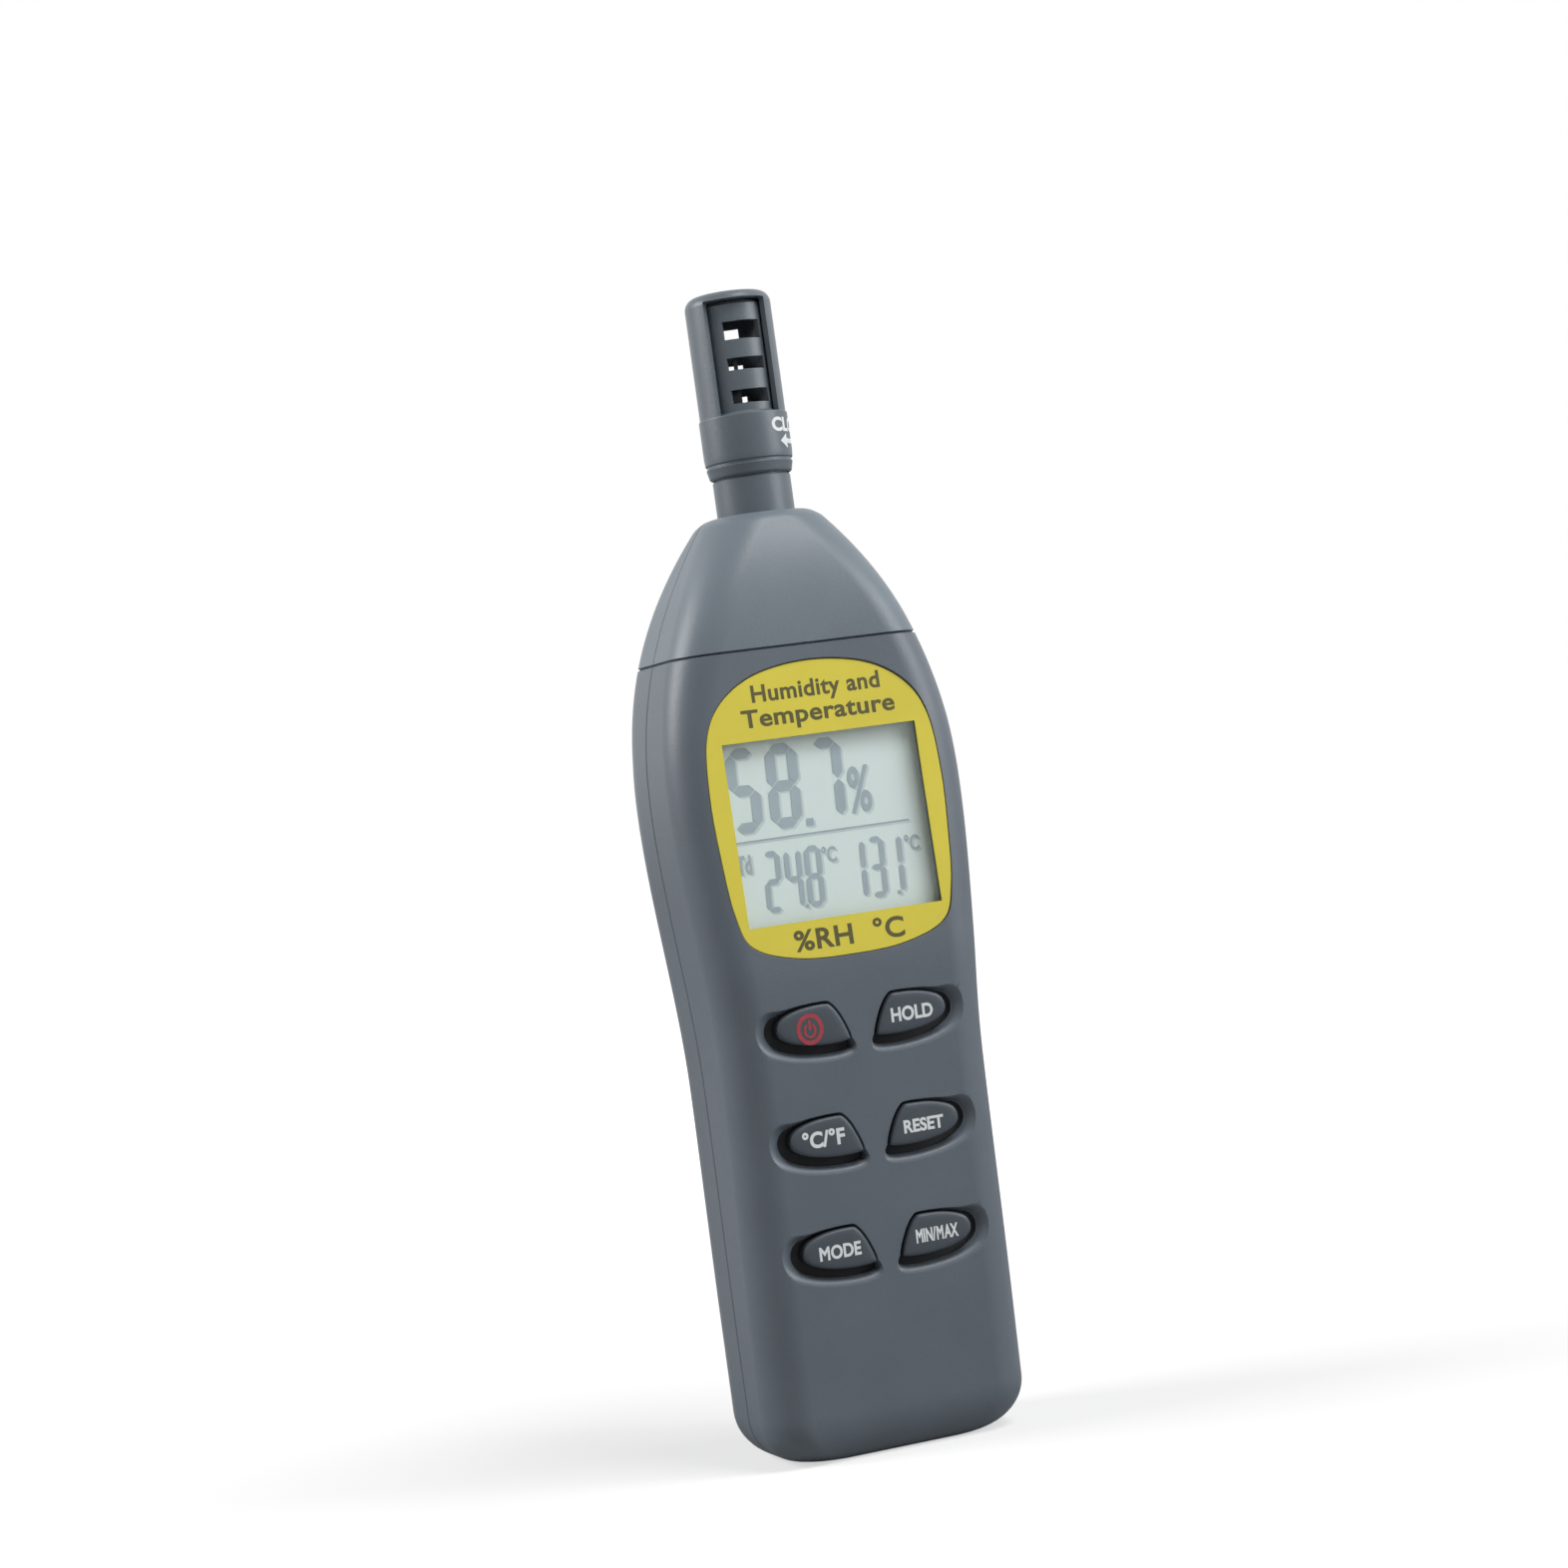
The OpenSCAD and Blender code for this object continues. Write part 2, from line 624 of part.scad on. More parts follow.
// A cone of wire curls from its wide end up to its narrow end
function spring_point(t) =
    let (r = 3.6 - 1.1 * t, a = 360 * spring_turns * t)
    [r * cos(a), r * sin(a), wire_r + (spring_len - 2 * wire_r) * t];
function spring_ring(i) =
    let (
        n = spring_turns * spring_steps,
        c = spring_point(i / n),
        a = 360 * i / spring_steps,
        out = [cos(a), sin(a), 0]
    )
    [for (k = [0:60:359]) c + wire_r * (out * cos(k) - [0, 0, 1] * sin(k))];
module spring() {
    loft([for (i = [0:spring_turns * spring_steps]) spring_ring(i)]);
}

module battery_springs() {
    color("silver") {
        translate([-cell_x, cell_y, bay_z + plate_t]) spring();
        translate([cell_x, cell_y, bay_top - plate_t]) mirror([0, 0, 1]) spring();
    }
}

module contact_plates() {
    color("silver") {
        block([-cell_x - 4.5, 4.2, bay_z], [cell_x + 4.5, 13, bay_z + plate_t]);
        for (x = [-cell_x, cell_x]) {
            block([x - 4.5, 4.2, bay_top - plate_t], [x + 4.5, 13, bay_top]);
            block([x - 0.7, board_y + board_t, bay_top - plate_t], [x + 0.7, 4.3, bay_top]);
        }
    }
}

module case_screws() {
    color("#8a8d90") for (s = screws)
        difference() {
            union() {
                y_cylinder(1.25, s.x, s.y, -front_d(s.y) + 3.4, 9);
                y_cylinder(2.2, s.x, s.y, 8.5, 10.1);
            }
            for (half = [[1.3, 0.3], [0.3, 1.3]])
                block([s.x - half.x, 9.3, s.y - half.y], [s.x + half.x, 11, s.y + half.y]);
        }
}

// Four wires run up from the main board and fan out over one side of the sensor board
module sensor_wires() {
    r = 0.35;
    color("#a03030") for (across = [-2.1, -0.7, 0.7, 2.1]) {
        start = [0.8 * across, board_y + board_t + r + 0.05];
        side = [cos(board_turn), sin(board_turn)];
        along = [-sin(board_turn), cos(board_turn)];
        end = (0.3 + r) * side + across * along;
        loft([for (z = [104:2.5:126.5])
            let (at = start + (end - start) * ease(ramp(z, 107, 123)))
            [for (k = [0:60:359]) [at.x + r * cos(k), at.y + r * sin(k), z]]]);
    }
}

front_shell();
rear_shell();
nose_front();
nose_rear();
sensor_sleeve();
sensor_board();
humidity_sensor();
thermistor();
shutter();
display_label();
display_lens();
lcd_panel();
lcd_holder();
zebra_strips();
main_board();
main_chip();
keypad_mat();
key_power();
key_units();
key_mode();
key_hold();
key_reset();
key_min_max();
cell_1();
cell_2();
cell_3();
cell_4();
battery_springs();
contact_plates();
battery_door();
case_screws();
sensor_wires();
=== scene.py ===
# Looks of the dew point meter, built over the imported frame. Lengths are written in millimetres.
import math

import bmesh
import bpy
from mathutils import Matrix, Vector


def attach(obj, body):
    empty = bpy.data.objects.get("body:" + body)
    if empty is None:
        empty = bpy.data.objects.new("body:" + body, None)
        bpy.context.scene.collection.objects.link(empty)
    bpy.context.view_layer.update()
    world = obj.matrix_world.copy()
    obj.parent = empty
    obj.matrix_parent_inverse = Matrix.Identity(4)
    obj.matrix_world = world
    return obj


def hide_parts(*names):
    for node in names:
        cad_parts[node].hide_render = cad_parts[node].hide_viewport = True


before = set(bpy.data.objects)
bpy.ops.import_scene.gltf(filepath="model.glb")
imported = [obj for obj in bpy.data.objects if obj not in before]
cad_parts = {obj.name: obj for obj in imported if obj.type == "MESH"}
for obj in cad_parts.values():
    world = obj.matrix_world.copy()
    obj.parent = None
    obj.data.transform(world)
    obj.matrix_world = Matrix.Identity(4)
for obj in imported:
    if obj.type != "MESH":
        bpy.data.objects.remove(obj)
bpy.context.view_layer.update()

MM = 0.001
FRONT, REAR = -1, 1

# Case and nose outline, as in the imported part
CASE_TOP, NOSE_TOP = 117.1, 137.2
FOOT_W, WAIST_W, SHOULDER_W, NOSE_W = 40.7, 40.3, 44.8, 16.8
FOOT_Z, WAIST_Z, SHOULDER_Z = 20, 55, 96
FOOT_R, FOOT_DEPTH_SHARE, FLOOR_Z, WALL = 7, 4 / 7, 2.4, 2
FOOT_D, REAR_DEPTH, NOSE_D, REAR_BEND_Z = 10.7, 16, 8, 104
SIDE_BEND, REAR_BEND, FRONT_BEND = 2.15, 3, 2.2
KEYPAD_SLOPE = math.tan(math.radians(3.4))
DISPLAY_TILT = math.radians(2.1)
CREASE_Z, CREASE_SOFT = 70.5, 0.12
FRONT_EDGE_R, REAR_EDGE_R, NOSE_EDGE_R, NOSE_CORNER_R = 6, 11, 1.4, 7.6
PARTING_GROOVE, SEAM_DEPTH, SEAM_HALF = 0.25, 0.4, 0.22
LEVEL_STEP, EDGE_STEPS, LEAST_FLAT, LEAST_R = 1.5, 14, 0.5, 0.6
BEHIND, FAR_BEHIND = 20, 30

# Display and keys
LCD_HALF_W, LCD_LOW, LCD_HIGH, LCD_GAP = 14.9, 7.2, 33.6, 0.4
LABEL_HALF = [(8.2, 2.1), (14.7, 4.5), (16.7, 9.5), (17.5, 17.5), (17.8, 26), (17, 34.5),
              (14.1, 39.6), (8.4, 43)]
POCKET_D, POCKET_GAP, POCKET_RIM, POCKET_RIM_D = 1.4, 0.12, 0.26, 0.13
LABEL_TOP, LABEL_BOTTOM, LABEL_SOFT = 0.25, 0.5, 0.04
KEY_POINTS = [(-13, 0.35), (-12.3, -1), (-9.8, -2.05), (-6, -2.55), (-2.6, -2.4), (-2.2, -1.7),
              (-3.3, 1.1), (-4.5, 2.85), (-5.6, 3.25), (-9.3, 3), (-12.15, 2)]
ROWS = [30.2, 46.3, 62.4]
SCOOP_D, KEY_GAP, SIDE_GAP, LOW_GAP = 1.3, 0.15, 1.35, 1.25
FLANGE_LOW, FLANGE_HIGH, FLANGE_GROW = -2.97, -2.12, 0.55
# The keys' sides are painted near black, as shade, up to the first of these heights below the face
PAINTED_SHADE_TOP, CROWN_LOW = -0.35, 0.2

# Battery bay and its door, screws and cells
BAY_HALF_W, BAY_FLOOR, BAY_BACK, BAY_Z, BAY_TOP, BAY_WALL = 11.1, 3.45, 14.05, 6, 100.2, 1.2
HINGE_Y, HINGE_Z, HINGE_R, HINGE_HALF_W = 14.7, 102.6, 1.3, 10.4
DOOR_HALF_W, DOOR_Z, DOOR_TOP, DOOR_T, DOOR_CORNER_R = 13.5, 8, 100.4, 1.3, 3
DOOR_GAP, HINGE_GAP, TOP_GAP = 0.2, 0.15, 0.55
NOTCH_R, NOTCH_OUT = 6, 4.8
GRIP_HALF_W, GRIP_D, GRIP_PITCH, GRIP_COUNT = 6, 0.4, 1.8, 6
SCREWS = [(-15.5, 12), (15.5, 12), (-15, 111), (15, 111)]
BOSS_R, WELL_R, WELL_FLOOR, SHANK_HOLE_R, SCREW_TIP = 3.4, 2.35, 8.5, 1.5, -1.5
CELL_R, CELL_LEN, CELL_X, CELL_Y, LOW_CELL, NUB_H = 5.2, 44.5, 5.5, 8.7, 10.4, 1
SPRING_LEN, SPRING_WIDE_R, SPRING_NARROW_R, SPRING_TURNS = 3.9, 3.6, 2.5, 3
SPRING_WIRE_R, PLATE_T = 0.3, 0.5

# Sensor head
TOTAL_H, NECK_R, NECK_TOP, NECK_LOW, NECK_FLOOR = 170, 5.75, 142.8, 130, 146
HOLD_R, HOLD_LOW, HOLD_HIGH, NOSE_ROOM_TOP = 7, 132.6, 134, 131
SLEEVE_R, SLEEVE_BORE, SLEEVE_TOP, RELIEF, ROOM_LOW = 5.4, 4.3, TOTAL_H - 1.6, 0.3, 147.5
SHUTTER_R, RING_R, RING_LOW, RING_TOP = 6.35, 6.55, NECK_TOP + 0.2, 151.9
SHUTTER_BORE, SNAP_DEPTH, CEILING = SLEEVE_R + 0.08, 0.18, TOTAL_H - 1.3
CAP_W, CAP_H, WEDGE_R = 1.7, 1.8, 12
SHUTTER_TURN, BOARD_TURN = math.radians(-8), math.radians(-20)
SLOTS, SLOT_ANGLE, WINDOW_ANGLE = [(153.4, 155.4), (158.3, 160.1), (162.8, 165.5)], 68, 92


# Outline formulas


def ease(t):
    return t * t * (3 - 2 * t)


def ramp(z, a, b):
    return min(max((z - a) / (b - a), 0), 1)


def half_w(z):
    if z < WAIST_Z:
        return FOOT_W / 2 + (WAIST_W - FOOT_W) / 2 * ease(ramp(z, FOOT_Z, WAIST_Z))
    if z < SHOULDER_Z:
        return WAIST_W / 2 + (SHOULDER_W - WAIST_W) / 2 * ease(ramp(z, WAIST_Z, SHOULDER_Z))
    return SHOULDER_W / 2 - (SHOULDER_W - NOSE_W) / 2 * ramp(z, SHOULDER_Z, NOSE_TOP) ** SIDE_BEND


def keypad_face(z):
    return FOOT_D + z * KEYPAD_SLOPE


def face(z):
    """Depth of the front: the keypad's plane and the display's, with a soft crease between."""
    a = keypad_face(z)
    b = keypad_face(CREASE_Z) - (z - CREASE_Z) * math.tan(DISPLAY_TILT)
    return (a + b) / 2 - math.hypot((a - b) / 2, CREASE_SOFT)


def depth_at(side, z):
    if side == REAR:
        return REAR_DEPTH - (REAR_DEPTH - NOSE_D) * ramp(z, REAR_BEND_Z, NOSE_TOP) ** REAR_BEND
    drop = (face(CASE_TOP) - NOSE_D) * ramp(z, CASE_TOP, NOSE_TOP) ** FRONT_BEND
    return face(min(z, CASE_TOP)) - drop


def edge_r(side, z):
    r = FRONT_EDGE_R if side == FRONT else REAR_EDGE_R
    return r + (NOSE_CORNER_R - r) * ramp(z, REAR_BEND_Z, NOSE_TOP)


def foot_inset(z):
    return FOOT_R - math.sqrt(FOOT_R ** 2 - (FOOT_R - z) ** 2) if z < FOOT_R else 0


def top_inset(z):
    up = z - NOSE_TOP + NOSE_EDGE_R
    return NOSE_EDGE_R - math.sqrt(max(NOSE_EDGE_R ** 2 - up ** 2, 0)) if up > 0 else 0


def half_loop(side, z, inset, groove=0):
    """Half a cross-section, from +X round the front or rear to -X, as points (x, y)."""
    w = half_w(z) - foot_inset(z) - top_inset(z) - inset
    d = depth_at(side, z) - foot_inset(z) * FOOT_DEPTH_SHARE - top_inset(z) - inset
    r = max(min(edge_r(side, z) - inset, w - LEAST_FLAT, d - LEAST_FLAT), LEAST_R)
    right = [(w - groove, 0), (w, PARTING_GROOVE)]
    for i in range(EDGE_STEPS + 1):
        a = math.pi / 2 * i / EDGE_STEPS
        right.append((w - r + r * math.cos(a), d - r + r * math.sin(a)))
    return [(x, side * y) for x, y in right] + [(-x, side * y) for x, y in reversed(right)]


def spaced(low, high, step):
    count = round((high - low) / step)
    return [low + (high - low) * i / count for i in range(count + 1)]


def circle(r, steps=48):
    angles = [2 * math.pi * i / steps for i in range(steps)]
    return [(r * math.cos(a), r * math.sin(a)) for a in angles]


def closed_curve(points, steps):
    """A closed curve through corner points."""
    out, n = [], len(points)
    for i in range(n):
        a, b, c, d = (Vector(points[(i + k) % n]) for k in (-1, 0, 1, 2))
        for s in range(steps):
            t = s / steps
            out.append((2 * b + (c - a) * t + (2 * a - 5 * b + 4 * c - d) * t * t
                        + (3 * b - a - 3 * c + d) * t ** 3) / 2)
    return out


def grown(points, amount, left=0, down=0):
    """The outline moved out along its normals, further where it faces left or down."""
    out, n = [], len(points)
    for i, p in enumerate(points):
        t = points[(i + 1) % n] - points[i - 1]
        normal = Vector((t.y, -t.x)).normalized()
        more = left * min(normal.x, 0) ** 2 + down * min(normal.y, 0) ** 2
        out.append(p + normal * (amount + more))
    return out


def shrunk(points, share):
    middle = sum(points, Vector((0, 0))) / len(points)
    return [middle + (p - middle) * share for p in points]


def mirrored(points, flip):
    return [Vector((-p.x if flip else p.x, p.y)) for p in points]


LABEL = closed_curve([(0, 1.6)] + LABEL_HALF + [(0, 44.2)]
                     + [(-x, y) for x, y in reversed(LABEL_HALF)], 10)
KEY = closed_curve(KEY_POINTS, 12)


def on_display(x, up, depth):
    """A point of the display face, with its depth measured inwards."""
    sin, cos = math.sin(DISPLAY_TILT), math.cos(DISPLAY_TILT)
    return (x, -keypad_face(CREASE_Z) + up * sin + depth * cos, CREASE_Z + up * cos - depth * sin)


def on_keypad(x, z, height):
    """A point over the keypad face, with its height measured outwards."""
    return (x, -keypad_face(z) - height, z)


def on_ring(along, z, radius, start):
    """A point round the head, measured along it from an angle right of the front."""
    a = start + along / radius
    return (radius * math.sin(a), -radius * math.cos(a), z)


# Mesh helpers


def add_object(name, mesh):
    obj = bpy.data.objects.new(name, mesh)
    bpy.context.scene.collection.objects.link(obj)
    return obj


def add_mesh(name, points, faces, weld=False):
    mesh = bpy.data.meshes.new(name)
    mesh.from_pydata([Vector(p) * MM for p in points], [], faces)
    bm = bmesh.new()
    bm.from_mesh(mesh)
    if weld:
        bmesh.ops.remove_doubles(bm, verts=bm.verts, dist=1e-7)
    bmesh.ops.recalc_face_normals(bm, faces=bm.faces)
    bm.to_mesh(mesh)
    bm.free()
    return add_object(name, mesh)


def loft(name, rings):
    n, m = len(rings[0]), len(rings)
    faces = [(i * n + j, i * n + (j + 1) % n, (i + 1) * n + (j + 1) % n, (i + 1) * n + j)
             for i in range(m - 1) for j in range(n)]
    faces += [tuple(range(n)), tuple(range((m - 1) * n, m * n))]
    return add_mesh(name, [p for ring in rings for p in ring], faces)


def lathe(name, profile, steps=128):
    """A solid turned about Z from points (radius, z), listed round the profile."""
    n = len(profile)
    points = [(r * math.cos(a), r * math.sin(a), z)
              for a in (2 * math.pi * i / steps for i in range(steps)) for r, z in profile]
    faces = []
    for i in range(steps):
        here, there = i * n, (i + 1) % steps * n
        faces += [(here + j, here + (j + 1) % n, there + (j + 1) % n, there + j)
                  for j in range(n) if profile[j][0] > 0 or profile[(j + 1) % n][0] > 0]
    return add_mesh(name, points, faces, weld=True)


def cylinder(name, r, low, high, steps=128):
    return lathe(name, [(0, low), (r, low), (r, high), (0, high)], steps)


def x_cylinder(name, r, y, z, half):
    return loft(name, [[(x, y + u, z + v) for u, v in circle(r)] for x in (-half, half)])


def y_cylinder(name, r, x, z, low, high):
    return loft(name, [[(x + u, y, z + v) for u, v in circle(r)] for y in (low, high)])


def block(name, low, high):
    (a, b, c), (d, e, f) = low, high
    return loft(name, [[(a, b, z), (d, b, z), (d, e, z), (a, e, z)] for z in (c, f)])


def turned(obj, angle, axis="Z"):
    obj.data.transform(Matrix.Rotation(angle, 4, axis))
    return obj


def moved(obj, x, y, z):
    obj.data.transform(Matrix.Translation(Vector((x, y, z)) * MM))
    return obj


def evaluated_mesh(obj):
    bpy.context.view_layer.update()
    graph = bpy.context.evaluated_depsgraph_get()
    return bpy.data.meshes.new_from_object(obj.evaluated_get(graph))


def combine(base, tools, operation):
    for tool in tools:
        step = base.modifiers.new(operation.lower(), "BOOLEAN")
        step.operation = operation
        step.solver = "EXACT"
        step.object = tool
    mesh = evaluated_mesh(base)
    base.modifiers.clear()
    base.data = mesh
    for tool in tools:
        bpy.data.objects.remove(tool)
    return base


def cut(base, *tools):
    return combine(base, tools, "DIFFERENCE")


def join(base, *others):
    return combine(base, others, "UNION")


def common(base, *others):
    return combine(base, others, "INTERSECT")


def smooth(obj, angle=32, bevel=0):
    """Smooth shading between faces that meet at a small angle, and a fine bevel on the rest."""
    obj.data.shade_smooth()
    obj.data.set_sharp_from_angle(angle=math.radians(angle))
    if bevel:
        edge = obj.modifiers.new("edge", "BEVEL")
        edge.width = bevel * MM
        edge.segments = 2
        edge.limit_method = "ANGLE"
        edge.angle_limit = math.radians(angle)
        edge.harden_normals = True
    normals = obj.modifiers.new("normals", "WEIGHTED_NORMAL")
    normals.keep_sharp = True
    return obj


def dress(obj, material, body, replaces=()):
    obj.data.materials.clear()
    obj.data.materials.append(material)
    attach(obj, body)
    if replaces:
        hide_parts(*replaces)


def second_material(obj, material, where):
    """Gives another material to the faces whose middle, in millimetres, passes the test."""
    obj.data.materials.append(material)
    for polygon in obj.data.polygons:
        x, y, z = polygon.center
        if where(x / MM, y / MM, z / MM):
            polygon.material_index = 1


# Materials


GLOSS_SPREAD = 0.06


def linear(color):
    return [((c / 255 + 0.055) / 1.055) ** 2.4 if c > 10 else c / 3294.6 for c in color] + [1]


def surface(name, color, roughness, spread=0.05, patch=90, grain=2400, bump=0.02,
            metallic=0, alpha=1):
    """A surface whose colour drifts slightly in patches and whose fine grain breaks its gloss."""
    material = bpy.data.materials.new(name)
    material.use_nodes = True
    nodes, links = material.node_tree.nodes, material.node_tree.links
    shader = nodes["Principled BSDF"]
    shader.inputs["Metallic"].default_value = metallic
    shader.inputs["Alpha"].default_value = alpha
    place = nodes.new("ShaderNodeTexCoord").outputs["Object"]

    def noise(scale, detail):
        node = nodes.new("ShaderNodeTexNoise")
        node.inputs["Scale"].default_value = scale
        node.inputs["Detail"].default_value = detail
        links.new(place, node.inputs["Vector"])
        return node.outputs["Fac"]

    drift = nodes.new("ShaderNodeValToRGB")
    base = linear(color)
    stops = drift.color_ramp.elements
    for stop, position, share in zip(stops, (0.3, 0.7), (1 - spread, 1 + spread)):
        stop.color = [min(c * share, 1) for c in base[:3]] + [1]
        stop.position = position
    links.new(noise(patch, 4), drift.inputs["Fac"])
    links.new(drift.outputs["Color"], shader.inputs["Base Color"])

    fine = noise(grain, 2)
    gloss = nodes.new("ShaderNodeMapRange")
    gloss.inputs["To Min"].default_value = roughness - GLOSS_SPREAD
    gloss.inputs["To Max"].default_value = roughness + GLOSS_SPREAD
    links.new(fine, gloss.inputs["Value"])
    links.new(gloss.outputs["Result"], shader.inputs["Roughness"])
    height = nodes.new("ShaderNodeBump")
    height.inputs["Distance"].default_value = bump * MM
    links.new(fine, height.inputs["Height"])
    links.new(height.outputs["Normal"], shader.inputs["Normal"])
    return material


# Name, colour in sRGB bytes, roughness, colour drift, scale of its patches, scale of the grain and
# its height
case_plastic = surface("case_plastic", (97, 106, 115), 0.42)
nose_plastic = surface("nose_plastic", (113, 124, 133), 0.42)
head_plastic = surface("head_plastic", (96, 106, 114), 0.38)
key_plastic = surface("key_plastic", (68, 77, 85), 0.45)
# Painted shade: near black for the keys' sides, standing in for the shadow in the gap round each
# key
key_painted_shade = surface("key_painted_shade", (20, 23, 27), 0.7)
label_film = surface("label_film", (231, 216, 78), 0.38, 0.04, 60, 1800, 0.01)
lens_plastic = surface("lens_plastic", (238, 244, 244), 0.12, 0.02, 40, 900, 0.002, alpha=0.05)
lcd_glass = surface("lcd_glass", (232, 247, 244), 0.3, 0.03, 45, 1200, 0.004)
lcd_ink = surface("lcd_ink", (165, 183, 191), 0.4, 0.06, 200, 1200, 0.004)
# Painted shadow of the LCD figures: lighter than the ink, darker than the glass
lcd_painted_shadow = surface("lcd_painted_shadow", (206, 221, 222), 0.4, 0.05, 200, 1200, 0.004)
holder_plastic = surface("holder_plastic", (230, 230, 224), 0.6)
strip_rubber = surface("strip_rubber", (214, 168, 178), 0.7)
mat_rubber = surface("mat_rubber", (90, 97, 100), 0.7)
circuit_board = surface("circuit_board", (48, 108, 62), 0.35, 0.3, 500, 900, 0.01)
sensor_board_mask = surface("sensor_board_mask", (26, 40, 36), 0.5, 0.2, 500, 900, 0.01)
chip_plastic = surface("chip_plastic", (30, 31, 34), 0.55)
humidity_film = surface("humidity_film", (44, 60, 104), 0.35, 0.2, 900, 2000, 0.01)
bead_glass = surface("bead_glass", (226, 230, 232), 0.15, 0.04, 300, 800, 0.003)
wire_plastic = surface("wire_plastic", (160, 50, 48), 0.4)
cell_sleeve = surface("cell_sleeve", (196, 201, 205), 0.3, 0.04, 80, 1500, 0.004, metallic=0.3)
bright_metal = surface("bright_metal", (200, 202, 204), 0.25, 0.06, 300, 1500, 0.004, metallic=1)
screw_metal = surface("screw_metal", (150, 152, 155), 0.32, 0.08, 400, 1500, 0.006, metallic=1)
white_print = surface("white_print", (232, 236, 238), 0.5, 0.04, 600)
dark_print = surface("dark_print", (88, 84, 42), 0.5, 0.1, 600)
red_print = surface("red_print", (172, 62, 72), 0.5, 0.08, 600)


# Case and nose


def moulded_half(name, side, levels):
    return loft(name, [[(x, y, z) for x, y in half_loop(side, z, inset, PARTING_GROOVE)]
                       for z, inset in levels])


def core(side, inset, low, high):
    """A half as a solid, inset from its outside, that reaches over the parting plane."""
    rings = []
    for z in spaced(low, high, LEVEL_STEP):
        loop = half_loop(side, z, inset)
        w = loop[0][0]
        rings.append([(x, y, z) for x, y in loop] + [(-w, -side, z), (w, -side, z)])
    return loft("core", rings)


def rear_core(inset):
    return core(REAR, inset, 3, CASE_TOP - 0.5)


# Heights of the cross-sections, closer together at the foot, the crease and the nose's top edge
CASE_HEIGHTS = ([FOOT_R * (1 - math.cos(math.radians(a))) for a in range(0, 90, 6)]
                + spaced(FOOT_R, CREASE_Z - 4.5, LEVEL_STEP)
                + spaced(CREASE_Z - 4, CREASE_Z + 4, 0.5)
                + spaced(CREASE_Z + 5, CASE_TOP - 1, LEVEL_STEP) + [CASE_TOP - SEAM_HALF])
NOSE_HEIGHTS = ([CASE_TOP + SEAM_HALF]
                + spaced(CASE_TOP + 1, NOSE_TOP - NOSE_EDGE_R - 0.5, 1)
                + [NOSE_TOP - NOSE_EDGE_R * (1 - math.sin(math.radians(a)))
                   for a in range(0, 91, 10)])
CASE_LEVELS = [(z, 0) for z in CASE_HEIGHTS] + [(CASE_TOP, SEAM_DEPTH)]
NOSE_LEVELS = [(CASE_TOP, SEAM_DEPTH)] + [(z, 0) for z in NOSE_HEIGHTS]


def display_tool(rings):
    """A loft through outlines that lie under the display face, as pairs of depth and outline."""
    return loft("tool", [[on_display(p[0], p[1], depth) for p in outline]
                         for depth, outline in rings])


def window(by):
    w = LCD_HALF_W + by
    return [(-w, LCD_LOW - by), (w, LCD_LOW - by), (w, LCD_HIGH + by), (-w, LCD_HIGH + by)]


def keypad_tool(row, flip, rings):
    """A loft through outlines that lie over the keypad face, as pairs of height and outline."""
    return loft("tool", [[on_keypad(p.x, row + p.y, height) for p in mirrored(outline, flip)]
                         for height, outline in rings])


def key_hole(row, flip):
    outline = grown(KEY, KEY_GAP, SIDE_GAP, LOW_GAP)
    return keypad_tool(row, flip, [(-WALL - 1, outline), (0.3, outline)])


# The scoop's wall rises evenly from beside the key and rounds over into the face. Each row gives
# its height and how far the key's outline grows: all round, at the outer side and below.
SCOOP_WALL = [(-SCOOP_D, 0.19, 1.4, 1.28), (-0.9, 0.2, 1.85, 1.3), (-0.6, 0.23, 2.25, 1.38),
              (-0.4, 0.27, 2.55, 1.48), (-0.25, 0.31, 2.8, 1.6), (-0.14, 0.35, 3.02, 1.74),
              (-0.06, 0.39, 3.22, 1.9), (-0.015, 0.43, 3.42, 2.08), (0, 0.47, 3.6, 2.25),
              (0.6, 0.6, 4.6, 2.6)]


def key_scoop(row, flip):
    return keypad_tool(row, flip, [(height, grown(KEY, *by)) for height, *by in SCOOP_WALL])


rim, pocket = grown(LABEL, POCKET_RIM), grown(LABEL, POCKET_GAP)
front_shell = moulded_half("front_shell_skin", FRONT, CASE_LEVELS)
cut(front_shell, core(FRONT, WALL, FLOOR_Z, CASE_TOP + 2),
    display_tool([(-1, rim), (0, rim), (POCKET_RIM_D, pocket), (POCKET_D, pocket)]),
    display_tool([(0.5, window(LCD_GAP)), (6, window(LCD_GAP))]),
    *[tool(row, flip) for row in ROWS for flip in (False, True) for tool in (key_scoop, key_hole)])
dress(smooth(front_shell), case_plastic, "case", ["front_shell"])


def door_plan(grow, above):
    """The door's outline from behind as a block through the wall."""
    w, r = DOOR_HALF_W + grow, DOOR_CORNER_R + grow
    low, high = DOOR_Z - grow, DOOR_TOP + above
    corner = [(r * (1 - math.sin(a)), r * (1 - math.cos(a)))
              for a in (math.pi / 2 * i / 12 for i in range(13))]
    right = [(w - x, low + z) for x, z in corner] + [(w - x, high - z) for x, z in reversed(corner)]
    outline = right + [(-x, z) for x, z in reversed(right)]
    plan = loft("plan", [[(x, y, z) for x, z in outline] for y in (0, FAR_BEHIND)])
    return join(plan, block("tab", (-HINGE_HALF_W - grow, 0, DOOR_TOP - 1),
                            (HINGE_HALF_W + grow, FAR_BEHIND, HINGE_Z)))


